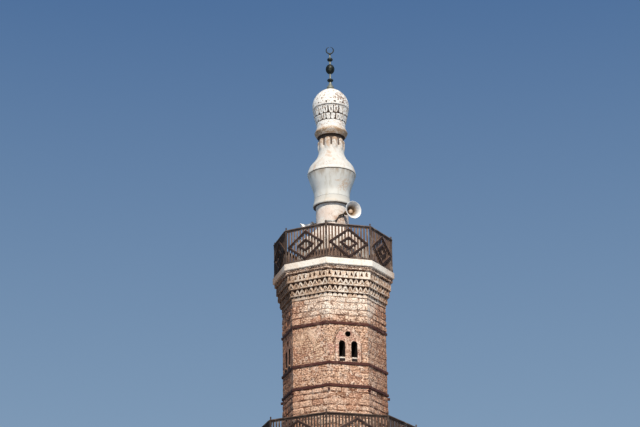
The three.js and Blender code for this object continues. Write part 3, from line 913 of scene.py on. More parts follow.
def build_stage_masonry(stage):
    for course, bond in (("shaft_foot", ROUGH), ("shaft_middle", FLUSH), ("shaft_head", ROUGH)):
        node = f"{stage}_{course}"
        pile = Pile()
        lay_courses(pile, octagon_sides(distance_of(node)), heights_of(node), bond, node)
        pile.make(f"{node}_stones", dressed_stone if bond is ROUGH else stone, "coral_stone")

    node = f"{stage}_window_wall_front"
    sides = octagon_sides(distance_of(node))
    centre = sum(heights_of(f"{stage}_band_middle")) / 2
    rng = random.Random(f"{stage} windows")
    pile, plasters, sills, shade_blocks = Pile(), Pile(), Pile(), Pile()
    lay_courses(pile, sides, heights_of(node), FLUSH, node, wall_opening(stage))
    infill, smooth_part = window_infill(), spandrel()
    for k in WINDOW_SIDES:
        arch_stones(pile, sides[k], (0, centre), WINDOW_ARCH, rng)
        on_wall(plasters, sides[k], (0, centre), infill, PLASTER_PROUD["window"])
        for middle in (-WINDOW.spread, WINDOW.spread):
            for part, sill, tone in ((sills, SILL, SILL_WASH_AND_SHADE[k]), (shade_blocks, SILL_SHADE_BLOCK, 0.0)):
                z, out = centre + WINDOW.sill - sill.drop, BED + sill.size[0] / 2
                ends = [sides[k].at(middle + along, z, out) for along in (-sill.reach, sill.reach)]
                plank(part, *ends, sides[k].out, sill.size, tone, 4, 0.005, 0.010, rng)
    for k in BLIND_ARCH_SIDES:
        on_wall(plasters, sides[k], (0, centre), smooth_part, PLASTER_PROUD["blind"])
        for middle in BLIND_MIDDLES:
            arch_stones(pile, sides[k], (middle, centre), BLIND_ARCH, rng)
            fill_arch(pile, sides[k], middle, centre, BLIND_ARCH, rng)
    pile.make(f"{stage}_window_course_stones", stone, "coral_stone")
    plasters.make(f"{stage}_window_plaster", infill_plaster, "coral_stone", smooth=20)
    sills.make(f"{stage}_window_sills", limewash, "limewash")
    # Dark blocks under the sills: painted shade beneath them.
    shade_blocks.make(f"{stage}_sill_shade_blocks", dark_timber, "coral_stone")


def build_bands(stage):
    """Sawn timbers let into the wall, each running a little past one corner, with stubs below."""
    rng = random.Random(f"{stage} bands")
    for name in ("band_low", "band_middle", "band_high"):
        node = f"{stage}_{name}"
        low, high = heights_of(node)
        pile = Pile()
        out = (BAND.proud + BED) / 2
        for side in octagon_sides(distance_of(node)):
            lap = BAND.lap * rng.uniform(0.5, 1.1)
            z = (low + high) / 2 + rng.uniform(-0.004, 0.004)
            start, end = side.at(-side.half(), z, out), side.at(side.half() + lap, z, out)
            size = (high - low - 0.012, BAND.proud - BED)
            plank(pile, start, end, UP, size, rng.uniform(0.1, 0.9), 18, 0.010, 0.006, rng)
        if name == "band_low":
            reach = distance_of(node) / math.cos(SIDE_TURN / 2)
            for k in range(SIDES):
                corner = FRONT + (k + 0.5) * SIDE_TURN
                direction = Vector((math.cos(corner), math.sin(corner), 0))
                start = direction * (reach - 0.05) + UP * (low - STUB.drop)
                end = direction * (reach + STUB.reach * rng.uniform(0.4, 1)) + UP * (low - STUB.drop)
                plank(pile, start, end, UP, (STUB.height, STUB.width), 0.1, 2, 0.004, 0.006, rng)
        pile.make(f"{node}_timbers", band_timber, "timber_band")


# Corbels and ledge. A cell is 1 wide and 1 high: its outline, and its hole.

CELL_BASE = [(-0.5, 0), (0.5, 0), (0.5, 0.34)]
LOWEST_TIER = ([*CELL_BASE, (0.20, 0.96), (-0.20, 0.96), (-0.5, 0.34)],)
MIDDLE_TIER = (
    [*CELL_BASE, (0.13, 0.95), (-0.13, 0.95), (-0.5, 0.34)],
    [[(-0.35, 0.16), (0.33, 0.18), (0.21, 0.48), (0.02, 0.78), (-0.20, 0.48)]],
)
HIGHEST_TIER = (
    [(-0.5, 0), (0.5, 0), (0.5, 0.97), (-0.5, 0.97)],
    [[(-0.29, 0.26), (0.27, 0.26), (0.20, 0.54), (0.04, 0.90), (-0.16, 0.60)]],
)
BACKING = [(-0.38, 0.10), (0.38, 0.10), (0.26, 0.46), (0, 0.80), (-0.26, 0.46)]
CHEVRON = [
    (-0.44, 0.20), (-0.33, 0.20), (0, 0.76), (0.33, 0.20), (0.44, 0.20), (0.06, 0.94), (-0.06, 0.94),
]

# How far the back and the face of each layer stand out from the tier's face.
CELL_LAYER = (-NICHE_DEPTH - 0.004, -0.008)
RIB_LAYER = (-0.02, 0.0)
BACKING_LAYER = (-0.07, -0.035)


def octagonal_core(pile, levels, hole):
    """A closed ring of eight sides. levels are (distance, height) up the outside."""
    points = []
    for distance, height in ((hole, levels[0][1]), *levels, (hole, levels[-1][1])):
        radius = distance / math.cos(SIDE_TURN / 2)
        for k in range(SIDES):
            angle = FRONT + (k + 0.5) * SIDE_TURN
            points.append((radius * math.cos(angle), radius * math.sin(angle), height))
    pile.add(points, wrap(SIDES, len(levels) + 2, closed=True))


def niche_tier(pile, shape, heights, edges, layer, rng, shade=None, missing=0.0):
    """A row of niche cells on each side. edges are the tier's distances at its foot and top, and
    shade is the tone of every cell where they don't differ."""
    low, high = heights
    for side in octagon_sides(edges[0]):
        for cell in range(CELLS):
            if rng.random() < missing:
                continue
            lean, sink = rng.uniform(-0.19, 0.19), rng.uniform(0.0, 0.008)
            wide = 0.90 if rng.random() < 0.35 else 1.0
            slip, stretch = rng.uniform(-0.08, 0.08), rng.uniform(-0.18, 0.05)
            pale = shade or 0.72 + dents(side.at(cell * 0.17, low), 1.3, 0.3) + rng.uniform(-0.09, 0.09)
            placed, tones = [], []
            for x, z, t in shape[0]:
                out = edges[0] + (edges[1] - edges[0]) * z - side.distance
                out += layer[0] + (layer[1] - layer[0]) * t - sink * t
                wander = lean * math.sin(math.pi * z) + slip if abs(x) < 0.45 else 0.0
                share = ((cell + 0.5 + x * wide + wander) / CELLS) * 2 - 1
                rise = z * (1 + stretch * (0.1 < z))
                p = side.at(share * side.half(out), low + (high - low) * rise, out)
                if z > 0.02:
                    p += UP * dents(p, 21.0, 0.032)
                placed.append(p)
                # The backs of the cells are toned near black: painted shade in the niches.
                tones.append(pale if t > 0.5 or shade or layer is RIB_LAYER else 0.1)
            pile.add(placed, shape[1], tones)


def tier_steps(node):
    """Each tier of the corbels: its foot and top heights, and its distances there."""
    at = {}
    for vertex in frame["nodes"][node].data.vertices:
        if vertex.co.x > abs(vertex.co.y) * 2:
            at.setdefault(round(vertex.co.z, 4), set()).add(round(vertex.co.x, 4))
    inner = min(min(xs) for xs in at.values())
    steps, below = [], None
    for height in sorted(at):
        xs = sorted(x for x in at[height] if x > inner + 0.01)
        if below:
            steps.append((below[0], height, below[1], xs[0]))
        below = (height, xs[-1])
    return steps, inner


def build_corbels(stage):
    node = f"{stage}_corbel_tiers"
    rng = random.Random(node)
    steps, hole = tier_steps(node)
    *tiers, (band_low, band_high, band_out, _) = steps
    levels = [(foot - NICHE_DEPTH, z) for low, high, foot, _ in tiers for z in (low, high)]
    levels += [(band_out - 0.01, band_low), (band_out - 0.01, band_high)]
    core, stones, niches, ribs = Pile(), Pile(), Pile(), Pile()
    octagonal_core(core, levels, hole)
    # The dark core behind the niches is painted shade.
    core.make(f"{node}_core", soot, "limewash", node)
    lay_courses(stones, octagon_sides(band_out + 0.012), (band_low, band_high), RUBBLE, node)
    stones.make(f"{node}_top_course", dark_rubble, "coral_stone")

    shapes = [plate(*shape) for shape in (LOWEST_TIER, MIDDLE_TIER, MIDDLE_TIER, HIGHEST_TIER)]
    chevron, backing = plate(CHEVRON), plate(BACKING)
    for tier, (low, high, foot, top) in enumerate(tiers):
        place = (low, high), (foot, top - TIER_LEAN)
        niche_tier(niches, shapes[tier], *place, CELL_LAYER, rng)
        if tier in (1, 2):
            niche_tier(ribs, chevron, *place, RIB_LAYER, rng, missing=0.2)
            niche_tier(niches, backing, *place, BACKING_LAYER, rng, 0.24)
    niches.make(f"{node}_niches", niche_limewash, "limewash", smooth=25)
    ribs.make(f"{node}_ribs", niche_limewash, "limewash", smooth=25)


def build_ledge(stage):
    """The balcony's floor with a worn arris, plastered."""
    node = f"{stage}_balcony_floor"
    low, high = heights_of(node)
    distance, r, steps = distance_of(node), LEDGE_ROUND, LEDGE_STEPS
    flat = distance - LEDGE_FLAT
    hole = min(v.co.x for v in frame["nodes"][node].data.vertices if v.co.x > abs(v.co.y) * 2)
    profile = [
        (hole, low), (flat, low), (distance - r, low), (distance, low + r), (distance, (low + high) / 2),
        (distance, high - r), (distance - r, high), (flat, high), (hole, high),
    ]
    points = []
    for i in range(SIDES * steps):
        share = 2 * (i % steps) / steps - 1
        for d, z in profile:
            side = Side(FRONT + i // steps * SIDE_TURN, d)
            p = side.at(side.half() * share, z)
            inward = abs(dents(p, 5.0, 0.012)) if d > distance - r - 1e-6 else 0.0
            points.append(side.at(side.half() * share, z, -inward))
    pile = Pile()
    pile.add(points, wrap(len(profile), SIDES * steps, closed=True), 0.88)
    pile.make(f"{stage}_ledge", limewash, "limewash", node, smooth=35)


# Balustrades

def lozenge(pile, side, half, centre, out, size, rng):
    """Four laths joined into a lozenge: half gives its half width and half height."""
    ends = [Vector((half[0], 0)), Vector((0, half[1])), Vector((-half[0], 0)), Vector((0, -half[1]))]
    for k in range(4):
        a, b = ends[k], ends[(k + 1) % 4]
        step = (b - a).normalized() * size[0] * 0.3
        start, end = (side.at(p.x, centre + p.y, out + 0.001 * (k % 2)) for p in (a - step, b + step))
        across = side.out.cross((end - start).normalized())
        plank(pile, start, end, across, size, rng.uniform(0.2, 0.8), 4, 0.003, 0.004, rng)


def balustrade_side(stage, k, rng):
    b = BALUSTRADE
    floor = f"{stage}_balcony_floor"
    ledge = heights_of(floor)[1]
    distance = distance_of(floor) - b.setback * math.cos(SIDE_TURN / 2) - b.inset
    side = Side(FRONT + k * SIDE_TURN, distance)
    half = side.half()
    top = ledge + b.height
    rail_low = top - b.rail[1]
    slats, rails, frames, cappings = Pile(), Pile(), Pile(), Pile()
    # The board under the rail is toned darker: painted shade under the rail.
    for z, size, tone in (
        (top - b.rail[1] / 2, b.rail, 0.9),
        (rail_low - b.under_rail[1] / 2, b.under_rail, 0.1),
        (ledge + 0.002 + b.kerb[1] / 2, b.kerb, 0.2),
    ):
        start, end = side.at(-half + 0.01, z), side.at(half - b.post * 0.8, z)
        plank(rails, start, end, UP, size[::-1], tone, 10, 0.005, 0.006, rng)

    first = -half + b.post + b.pitch - b.slat[0] / 2 - 0.015
    last = half - b.post - b.slat[0] / 2 - 0.03
    count = int((last - first) / b.pitch) + 1
    for i in range(count):
        u = first + (last - first) * i / (count - 1)
        sway = rng.uniform(-0.004, 0.004)
        start = side.at(u, ledge + b.kerb[1] - 0.015)
        end = side.at(u + sway, rail_low - b.under_rail[1] + 0.015)
        plank(slats, start, end, side.along, b.slat, rng.uniform(0.0, 1.0), 4, 0.004, 0.005, rng)

    r = b.post
    post = [
        (0, ledge + 0.001), (r, ledge + 0.001), (r, ledge + 0.10), (r * 0.8, ledge + 0.125),
        (r * 0.8, top - 0.16), (r, top - 0.135), (r, top + 0.004), (r * 0.5, top + 0.014),
        (r * 0.38, top + 0.034), (r * 0.62, top + 0.055), (r * 0.6, top + 0.072),
        (r * 0.3, top + 0.092), (0, top + 0.1),
    ]
    revolve(rails, post, 12, 0.3, None, Matrix.Translation(side.at(-half, 0)))
    wide = half / b.half
    out = b.slat[1] / 2 + b.frame[1] / 2
    front = b.slat[1] / 2 + b.frame[1] + b.capping[1] / 2 - 0.002
    for size in (b.large, b.small):
        for pile, lift, lath in ((frames, out, b.frame), (cappings, front, b.capping)):
            lozenge(pile, side, (size[0] * wide, size[1]), ledge + b.middle, lift, lath, rng)
    node = f"{stage}_balustrade_{k + 1}"
    upper = stage == "upper"
    slats.make(f"{node}_slats", slat_timber if upper else lower_timber, "slat_timber", node)
    rails.make(f"{node}_rails", rail_timber if upper else lower_timber, "slat_timber")
    frames.make(f"{node}_lozenges", slat_timber, "slat_timber")
    cappings.make(f"{node}_cappings", dark_timber, "slat_timber")


# Lantern. Its profiles are (radius, height). The height is above the foot of the solid, but in
# the finial above the ground.

CUP_SEAM = 0.265
CUP_ROLL = [
    (0.588, 0), (0.602, 0.014), (0.604, 0.045), (0.594, 0.075), (0.576, 0.14), (0.563, 0.22),
    (0.560, 0.259),
]
CUP_BOWL = [
    (0.556, 0.271), (0.558, 0.33), (0.563, 0.42), (0.576, 0.50), (0.614, 0.63), (0.668, 0.79),
    (0.716, 0.93),
]
NECK_SHOULDER = [
    (0.764, 0.008), (0.765, 0.03), (0.757, 0.07), (0.716, 0.205), (0.660, 0.305), (0.598, 0.38),
    (0.515, 0.485), (0.450, 0.60), (0.412, 0.72), (0.400, 0.86),
]
LOBES = Sizes(count=10, reach=0.312, radius=0.122, foot=0.78, top=1.225)
HEAD_COLLAR = [
    (0.452, 0.004), (0.470, 0.030), (0.500, 0.080), (0.522, 0.125), (0.528, 0.145), (0.524, 0.162),
    (0.508, 0.192), (0.484, 0.240), (0.462, 0.300), (0.460, 0.37), (0.460, 0.478),
]
HEAD_BODY = [
    (0.440, 0.482), (0.452, 0.56), (0.468, 0.66), (0.490, 0.69), (0.505, 0.80), (0.520, 0.915),
    (0.572, 0.920), (0.573, 0.934), (0.545, 0.937),
]
TONGUE = [
    (-0.5, 0.30), (-0.40, 0.08), (-0.26, 0), (0.26, 0), (0.40, 0.08), (0.5, 0.30), (0.5, 1), (-0.5, 1),
]
TONGUE_SLOT = [
    (-0.08, 0.22), (0.12, 0.26), (0.15, 0.58), (0.08, 0.70), (0, 0.78), (-0.08, 0.68), (-0.13, 0.50),
]
TONGUES = 20
# Foot, top, the radii there, and how far the cells are shifted.
TONGUE_TIERS = ((0.485, 0.655, 0.480, 0.523, 0.0), (0.69, 0.905, 0.530, 0.571, 0.5))
DOME = Sizes(radius=0.585, centre=0.13, point=0.055, flat=0.09)
FINIAL_FOOT = [
    (0.112, 24.315), (0.118, 24.335), (0.118, 24.362), (0.104, 24.378), (0.074, 24.42), (0.052, 24.47),
    (0.038, 24.52), (0.034, 24.545),
]
# Middle, half width, half height, and the radius of the neck at each end.
FINIAL_BALLS = (
    (24.603, 0.098, 0.057, 0.034), (24.997, 0.142, 0.168, 0.030), (25.338, 0.09, 0.062, 0.026),
)
FINIAL_TOP = [(0.026, 25.41), (0.022, 25.50), (0.036, 25.51), (0.036, 25.525), (0.02, 25.54), (0, 25.56)]
FINIAL_DARK = ((24.545, 24.665), (24.835, 25.165), (25.28, 25.40), (25.5, 26))
CRESCENT = Sizes(middle=25.671, outer=0.134, inner=0.100, lift=0.009, opening=0.14, thick=0.034)


def above(low, profile):
    return [(radius, low + height) for radius, height in profile]


def uneven(amount):
    """Hand-laid plaster is never quite round."""
    def swell(radius, angle, height):
        if radius < 0.05:
            return radius
        return radius + dents((math.cos(angle), math.sin(angle), height), 3.5, amount)
    return swell


def smooth_profile(points, steps=4):
    """A finer profile through the same points, by Catmull-Rom curves."""
    made = []
    padded = [points[0], *points, points[-1]]
    for corners in zip(padded, padded[1:], padded[2:], padded[3:]):
        for k in range(steps):
            t = k / steps
            made.append(tuple(
                0.5 * (2 * b + (c - a) * t + (2 * a - 5 * b + 4 * c - d) * t * t
                       + (3 * b - a - 3 * c + d) * t ** 3)
                for a, b, c, d in zip(*corners)
            ))
    return [*made, points[-1]]


def dark_at(*spans):
    """Tone of a turned shape: dark inside the given spans of height."""
    return lambda radius, height: 0.0 if any(low <= height <= high for low, high in spans) else 0.9


def lathe(node, name, material, profile, segments, tone, swell, **more):
    """One turned piece of the lantern, in place of its CAD solid."""
    pile = Pile()
    revolve(pile, profile, segments, tone, swell, **more)
    pile.make(name, material, "lantern_plaster", node)


def with_doorway(ring, name, node):
    """A turned wall of the lantern, open inside, with the balcony doorway cut through its back."""
    pile, cutter = Pile(), Pile()
    low, high = ring[0][1], ring[-1][1]
    ring = [(DRUM_INNER, low), *ring, (DRUM_INNER, high), (DRUM_INNER, low)]
    # The inner face is toned dark: painted shade inside the lantern.
    revolve(pile, ring, 96, lambda r, z: 0.1 if r == DRUM_INNER else 0.9, uneven(0.008))
    half, floor = DOOR.half, heights_of("upper_balcony_floor")[1]
    outline = [(-half, low - 0.05), (half, low - 0.05), *arc((0, floor + DOOR.spring), half, 0, 180, 14)]
    points, faces = plate(outline)
    cutter.add([(x, DOOR.cut_from + t * DOOR.cut_depth, z) for x, z, t in points], faces)
    meshes = [part.mesh(name) for part in (pile, cutter)]
    for mesh in meshes:
        face_outwards(mesh)
    body, tool = (link("part", mesh) for mesh in meshes)
    mesh = modified(body, "BOOLEAN", operation="DIFFERENCE", solver="EXACT", object=tool)
    bpy.data.objects.remove(tool)
    finish_piece(mesh, name, plaster, (node,))


def build_plinth():
    """The lantern's base: upright, with a rounded shoulder, then sloping in to the drum."""
    low, high = heights_of("lantern_plinth")
    radius = distance_of("lantern_plinth") - 0.014
    wall = [(radius, low + (high - low) * i / 20) for i in range(13)]
    slope = [
        (radius, 18.86), (radius - 0.004, 18.91), (radius - 0.03, 18.96), (0.92, 19.10), (0.73, 19.27),
        (0.56, 19.42),
    ]
    with_doorway([*wall, *smooth_profile(slope), (0.535, high)], "plinth_wall", "lantern_plinth")


def build_drum():
    low, high = heights_of("lantern_drum")
    radius = distance_of("lantern_drum")
    with_doorway([(radius, low + (high - low) * i / 16) for i in range(17)], "drum_wall", "lantern_drum")


def build_cup():
    low, high = heights_of("lantern_cup")
    seam = low + CUP_SEAM
    bowl = above(low, CUP_BOWL) + [(0.755, high - 0.035), (0.764, high - 0.018)]
    profile = [
        (0, low), (0.5, low), *smooth_profile(above(low, CUP_ROLL)), (0.550, seam),
        *smooth_profile(bowl), (0.742, high - 0.010), (0.742, high), (0, high),
    ]
    dark = dark_at((0, low), (seam - 0.001, seam + 0.001), (high - 0.011, high))
    lathe("lantern_cup", "cup", cup_render, profile, 96, dark, uneven(0.005))


def build_neck():
    """The neck, with a ring of round-headed lobes under the collar."""
    low, high = heights_of("lantern_neck")
    upper = [(0.385 - 0.015 * min(1, i / 3), low + 0.90 + i * 0.02) for i in range(20)]

    def lobed(base, angle, height):
        r = uneven(0.004)(base, angle, height)
        up = height - low - LOBES.foot
        if base < 0.1 or up < 0:
            return r
        share = ((angle - FRONT - VIEW_TURN) * LOBES.count / math.tau) % 1.0
        off = (share - 0.5) * math.tau / LOBES.count
        head = max(0.0, height - low - LOBES.top + LOBES.radius) / LOBES.radius
        wide = LOBES.radius * math.sqrt(max(0.0, 1 - head ** 2))
        lateral = LOBES.reach * math.sin(off)
        if abs(lateral) >= wide:
            return r
        lobe = LOBES.reach * math.cos(off) + math.sqrt(wide * wide - lateral * lateral)
        return max(r, base + (lobe - base) * min(1.0, up / 0.10))

    profile = [
        (0, low), (0.742, low), (0.742, low + 0.006), *smooth_profile(above(low, NECK_SHOULDER)), *upper,
        (0.37, high), (0, high),
    ]
    pile = Pile()
    revolve(pile, profile, 200, dark_at((0, low + 0.006), (high - 0.001, high)), lobed)
    for i, (x, y, z) in enumerate(pile.points):
        if low + 0.93 < z < high and math.hypot(x, y) < 0.398:
            pile.tones[i] = 0.10  # painted shade in the grooves between the lobes, over their brown stains
    pile.make("neck", plaster, "lantern_plaster", "lantern_neck", smooth=50)


def build_head():
    """The collar, and two tiers of small tongues round the head, with dark gaps between them that are
    painted shade.
    """
    low, high = heights_of("lantern_head")
    collar = smooth_profile(above(low, HEAD_COLLAR), 3)
    profile = [(0, low), (0.44, low), *collar, *above(low, HEAD_BODY), (0.545, high), (0, high)]
    # The body behind the tongues is toned dark: painted shade in the gaps between them.
    dark = dark_at((0, low + 0.002), (low + 0.48, low + 0.916), (low + 0.936, high))
    lathe("lantern_head", "head", plaster, profile, 96, dark, uneven(0.003))
    shapes = plate(TONGUE, [TONGUE_SLOT]), plate(TONGUE)
    rng = random.Random("head")
    tongues = Pile()
    for foot, top, r0, r1, shift in TONGUE_TIERS:
        for cell in range(TONGUES):
            sink, tall, pale = rng.uniform(0, 0.005), rng.uniform(-0.02, 0.012), rng.uniform(0.78, 1)
            lean, crown = rng.uniform(-0.10, 0.10), rng.choice((0.0, 0.006, 0.016))
            points, faces = shapes[rng.random() < 0.4]
            placed, tones = [], []
            for x, z, t in points:
                r = r0 + (r1 - r0) * z - 0.05 * (1 - t) - sink * t
                turn = (cell + 0.5 + shift + x * 0.81 + lean * (1 - z)) * math.tau / TONGUES
                angle = FRONT + VIEW_TURN + turn
                height = low + foot + (top + crown - foot) * z - tall * (1 - z)
                placed.append((r * math.cos(angle), r * math.sin(angle), height))
                # The backs and slot walls of the tongues are toned dark: painted shade.
                tones.append(pale if t > 0.5 else 0.0)
            tongues.add(placed, faces, tones)
    tongues.make("head_tongues", plaster, "lantern_plaster", smooth=25)


def build_dome():
    """The dome comes to a slight point, and has a ring of square holes near its foot."""
    low, _ = heights_of("lantern_dome")
    radius = DOME.radius
    profile = above(low, [
        (0, 0), (0.545, 0), (0.545, 0.012), (0.572, 0.018),
        (radius, 0.032), (radius, 0.074), (radius, 0.128),
    ])
    for k in range(1, 19):
        angle = math.acos(DOME.flat / radius) * k / 18
        rise = radius + DOME.point * (angle / (math.pi / 2)) ** 3
        profile.append((radius * math.cos(angle), low + DOME.centre + rise * math.sin(angle)))
    profile.append((0, profile[-1][1]))
    turn = Matrix.Rotation(FRONT + VIEW_TURN, 4, "Z")
    lathe("lantern_dome", "dome", plaster, profile, 65, dark_at((0, low + 0.013)), uneven(0.003),
          matrix=turn, holes=lambda level, k: level == 5 and k % 5 == 2)


def crescent(pile):
    """A crescent that faces the camera, round in section and thinner at its tips."""
    c, steps, corners = CRESCENT, 48, 10
    across = Vector((math.cos(VIEW_TURN), math.sin(VIEW_TURN), 0))
    through = Vector((-across.y, across.x, 0))
    points = []
    for i in range(steps + 1):
        turn = math.pi / 2 + c.opening + (math.tau - 2 * c.opening) * i / steps
        direction = across * math.cos(turn) + UP * math.sin(turn)
        inside = c.lift * math.sin(turn) + math.sqrt(c.inner ** 2 - (c.lift * math.cos(turn)) ** 2)
        mid, half = (c.outer + inside) / 2, (c.outer - inside) / 2
        ease = min(1.0, 0.35 + 4 * min(i, steps - i) / steps)
        for k in range(corners):
            a = k * math.tau / corners
            deep = through * (c.thick / 2 * ease * math.sin(a))
            points.append(UP * c.middle + direction * (mid + half * ease * math.cos(a)) + deep)
    pile.add(points, wrap(corners, steps + 1), 0.2)


def build_finial():
    low = heights_of("crescent_finial")[0]
    profile = [(0, low), (0.092, low), *FINIAL_FOOT]
    for centre, wide, tall, neck in FINIAL_BALLS:
        end = math.asin(neck / wide)
        for k in range(15):
            angle = end + (math.pi - 2 * end) * k / 14
            profile.append((wide * math.sin(angle), centre - tall * math.cos(angle)))
        if centre < FINIAL_BALLS[-1][0]:
            profile += [(0.030, centre + tall + 0.01), (0.026, centre + tall + 0.03)]

    def tone(r, z):
        return 0.2 if any(a < z < b for a, b in FINIAL_DARK) else 1.0

    pile = Pile()
    revolve(pile, profile + FINIAL_TOP, 40, tone)
    crescent(pile)
    pile.make("finial", bronze, "dark_bronze", "crescent_finial", smooth=50)


# Loudspeaker horns

DRIVER = 0.062
HORN_SKIN = 0.006
# Shares of the mouth's radius and of the bell's length.
BELL_OUTSIDE = ((0.3, 0.72), (0.42, 0.54), (0.58, 0.36), (0.74, 0.2))
BELL_INSIDE = ((0.88, 0.08), (0.74, 0.2), (0.57, 0.36), (0.41, 0.54), (0.29, 0.72))
PLUG = ((0.30, 0.62), (0.28, 0.55), (0.16, 0.50), (0, 0.48))


def build_horn(name, mouth, heading, dip, radius, length):
    """A flared horn with a rolled rim, its driver, the plug in its throat, and its bracket."""
    bell, throat = length * 0.68, radius * 0.2
    outside = [(throat + 0.012, -bell)] + [(radius * a + HORN_SKIN, -bell * b) for a, b in BELL_OUTSIDE]
    outside.append((radius * 0.90, -bell * 0.07))
    rim = [
        (radius * 0.965, -0.022), (radius, -0.014), (radius, -0.003),
        (radius - 0.007, 0), (radius - 0.016, -0.006),
    ]
    inside = [(radius * a, -bell * b) for a, b in BELL_INSIDE] + [(throat, -bell + 0.012)]
    can = [
        (0, -length), (DRIVER - 0.008, -length), (DRIVER, -length + 0.008), (DRIVER, -bell - 0.05),
        (DRIVER - 0.01, -bell - 0.03), (throat + 0.012, -bell - 0.012),
    ]
    cone = [(0, -bell * 0.96), (throat * 0.9, -bell * 0.95)] + [(radius * a, -bell * b) for a, b in PLUG]
    inner, outer = DRIVER + 0.001, DRIVER + 0.006
    clamp = [(inner, 0.03), (outer, 0.032), (outer, 0.058), (inner, 0.06), (inner, 0.03)]

    turn = Euler((0, math.radians(90 + dip), math.radians(heading)), "XYZ")
    matrix = Matrix.Translation(mouth) @ turn.to_matrix().to_4x4()
    shell, plug, bracket = Pile(), Pile(), Pile()
    flare = smooth_profile(inside, 3)

    # Inside the bell the tone falls towards the throat: painted shade deep in the bell, with brown dirt.
    def tone(r, z):
        if (r, z) in flare:
            return min(1.0, 0.16 + 0.92 * r / radius)
        return 0.45 if z < -bell * 0.35 else 1.0

    whole = [*can, *smooth_profile(outside, 3), *rim, *flare, (0, -bell + 0.012)]
    revolve(shell, whole, 48, tone, None, matrix)
    revolve(plug, cone, 32, 0.3, None, matrix)
    rear = matrix @ Vector((0, 0, -length + DRIVER))
    outwards = Vector((rear.x, rear.y, 0)).normalized()
    wall = outwards * (distance_of("lantern_drum") - 0.004) + UP * rear.z
    sideways = UP.cross(outwards)
    rng = random.Random(name)
    bars = [(wall, rear - outwards * DRIVER * 0.4, UP, (0.05, 0.012), 3)]
    for base in (wall + UP * -0.045, wall + UP * 0.045):
        bars.append((base - sideways * 0.03, base + sideways * 0.03, outwards, (0.014, 0.014), 1))
    bars.append((wall - UP * 0.09, wall + UP * 0.09, sideways, (0.06, 0.012), 2))
    for start, end, across, size, steps in bars:
        plank(bracket, start, end, across, size, 0.5, steps, 0.0, 0.003, rng)
    revolve(bracket, above(-length, clamp), 32, 0.5, None, matrix)
    shell.make(f"{name}_shell", horn_enamels[name], "horn_paint", name, smooth=35)
    plug.make(f"{name}_plug", horn_plug, "horn_paint")
    bracket.make(f"{name}_bracket", iron, "horn_paint")


def build_horn_stay():
    """The steel strap, stay and bolts that hold the larger horn to the drum's face."""
    radius = distance_of("lantern_drum") + 0.012
    rng = random.Random("stay")
    strap, dark = Pile(), Pile()

    def on_drum(degrees, z=19.60, out=0.0):
        a = math.radians(degrees)
        return Vector(((radius + out) * math.cos(a), (radius + out) * math.sin(a), z))

    for k in range(8):
        start, end = on_drum(-132 + k * 4.8), on_drum(-132 + (k + 1) * 4.8 + 0.6)
        plank(strap, start, end, UP, (0.045, 0.012), 0.8, 1, 0.0, 0.003, rng)
    for degrees, size in ((-93.5, 0.032), (-131, 0.018)):
        knob = [(0, -0.02), (size, -0.015), (size, 0.02), (size * 0.7, 0.032), (0, 0.034)]
        turn = Euler((0, math.radians(90), math.radians(degrees)), "XYZ").to_matrix().to_4x4()
        revolve(dark, knob, 14, 0.5, None, Matrix.Translation(on_drum(degrees, out=0.004)) @ turn)
    foot, bend, tip = on_drum(-93.5, 19.61, 0.02), on_drum(-84, 19.76, 0.03), on_drum(-66, 19.85, 0.05)
    plank(dark, foot, bend, UP, (0.028, 0.016), 0.5, 2, 0.0, 0.003, rng)
    plank(dark, bend, tip, UP, (0.050, 0.018), 0.5, 3, 0.0, 0.003, rng)
    strap.make("horn_strap", zinc, "horn_paint")
    dark.make("horn_stay", iron, "horn_paint")


# The foot

def build_foot():
    low, high = heights_of("foot_wall_back")
    door = -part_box("doorway_jamb_left")[1].x
    spring = heights_of("doorway_jamb_left")[1]
    arch = Sizes(half=door, spring=spring, rise=door * 1.001, **DOORWAY_ARCH)  # all but round

    def ends(k, z):
        reach = arch_half(arch, z, arch.ring if z > arch.spring else 0.0)
        return (-reach, reach) if k == 0 and reach > 0.05 else None

    pile = Pile()
    sides = [Side(FRONT + k * math.pi / 2, distance_of("foot_wall_back"), 1.0) for k in range(4)]
    lay_courses(pile, sides, (low + 0.010, high - 0.010), ROUGH, "foot", ends)
    arch_stones(pile, sides[0], (0, 0), arch, random.Random("doorway"))
    pile.make("foot_stones", dressed_stone, "coral_stone")


def build_shoulder():
    """The broach between the square and the octagon, a rough plastered slope."""
    holder = link("shoulder", frame["nodes"]["octagon_shoulder"].data.copy())
    mesh = modified(holder, "REMESH", mode="VOXEL", voxel_size=0.06)
    low, high = heights_of("octagon_shoulder")
    for vertex in mesh.vertices:
        p = vertex.co
        push = dents(p, 4.0, 0.012) + dents(p, 14.0, 0.005) - 0.004
        moved = p + Vector((p.x, p.y, 0)).normalized() * push
        vertex.co = (moved.x, moved.y, min(max(moved.z, low), high))
    tones = mesh.attributes.new("tone", "FLOAT", "POINT")
    tones.data.foreach_set("value", [0.7] * len(mesh.vertices))
    mesh.materials.clear()
    finish_piece(mesh, "shoulder", limewash, ("octagon_shoulder",), 50)


def dress_cad():
    """The CAD pieces that stay in view take the finish that shows between and behind the rest."""
    finishes = {"limewash": parging, "timber_band": mortar, "coral_stone": mortar}
    slots = {row["node"]: row["material_slot"] for row in frame["record"]["subparts"]}
    for name, node in frame["nodes"].items():
        finish = finishes.get(slots[name], plaster)
        if "window_wall" in name:
            finish = window_core
        elif "shaft_middle" in name:
            finish = parging
        node.data.materials.clear()
        node.data.materials.append(finish)


# Stage, light and camera

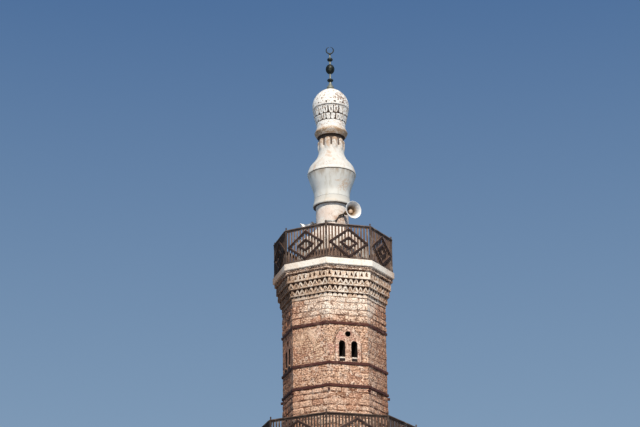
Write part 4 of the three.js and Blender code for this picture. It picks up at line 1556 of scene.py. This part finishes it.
def build_stage():
    bpy.ops.mesh.primitive_circle_add(vertices=96, radius=16, fill_type="NGON", location=(0, 0, 0))
    floor = bpy.context.object
    floor.name = "floor"
    f = Finish("floor")
    f.body = f.mix(f.noise(0.4, 3), (0.78, 0.70, 0.59), (0.82, 0.745, 0.64))
    floor.data.materials.append(f.use(0.9, None))

    world = bpy.data.worlds.new("studio")
    world.use_nodes = True
    nodes, links = world.node_tree.nodes, world.node_tree.links
    kinds = "TexCoord", "SeparateXYZ", "ValToRGB"
    around, split, fade = (nodes.new("ShaderNode" + kind) for kind in kinds)
    low, high = fade.color_ramp.elements
    low.position, low.color = 0.17, (0.23, 0.325, 0.44, 1)
    high.position, high.color = 0.46, (0.088, 0.165, 0.305, 1)
    links.new(around.outputs["Generated"], split.inputs["Vector"])
    links.new(split.outputs["Z"], fade.inputs["Fac"])
    links.new(fade.outputs["Color"], nodes["Background"].inputs["Color"])
    bpy.context.scene.world = world

    for name, (azimuth, altitude, strength, softness, color) in SUNS.items():
        light = bpy.data.lights.new(name, "SUN")
        light.energy, light.angle, light.color = strength, math.radians(softness), color
        a, e = math.radians(azimuth), math.radians(altitude)
        towards = Vector((math.cos(a) * math.cos(e), math.sin(a) * math.cos(e), math.sin(e)))
        link(name, light).rotation_euler = towards.to_track_quat("Z", "Y").to_euler()


def build_camera():
    yaw, pitch, roll = (math.radians(angle) for angle in (CAMERA.yaw, CAMERA.pitch, CAMERA.roll))
    forward = Vector((math.sin(yaw) * math.cos(pitch), math.cos(yaw) * math.cos(pitch), math.sin(pitch)))
    right = Vector((math.cos(yaw), -math.sin(yaw), 0))
    up = right.cross(forward)
    rolled_right = right * math.cos(roll) + up * math.sin(roll)
    rolled_up = up * math.cos(roll) - right * math.sin(roll)
    facing = Matrix((rolled_right, rolled_up, -forward)).transposed().to_4x4()
    data = bpy.data.cameras.new("camera")
    data.sensor_width = SENSOR_MM
    data.lens = FOCAL_PIXELS / PHOTO_WIDTH * SENSOR_MM
    data.clip_end = 500
    camera = link("camera", data)
    stand = Matrix.Translation((0, -CAMERA.distance, CAMERA.eye))
    camera.matrix_world = Matrix.Rotation(VIEW_TURN, 4, "Z") @ stand @ facing
    bpy.context.scene.camera = camera


dress_cad()
build_foot()
build_shoulder()
for stage in ("lower", "upper"):
    build_stage_masonry(stage)
    build_bands(stage)
    build_corbels(stage)
    build_ledge(stage)
    rng = random.Random(f"{stage} balustrade")
    for k in range(SIDES):
        balustrade_side(stage, k, rng)
for build in (build_plinth, build_drum, build_cup, build_neck, build_head, build_dome, build_finial):
    build()
for name, horn in HORNS.items():
    build_horn(name, **horn)
build_horn_stay()
build_stage()
build_camera()

bpy.context.scene.view_settings.view_transform = "Standard"
bpy.context.scene.view_settings.look = "Medium High Contrast"
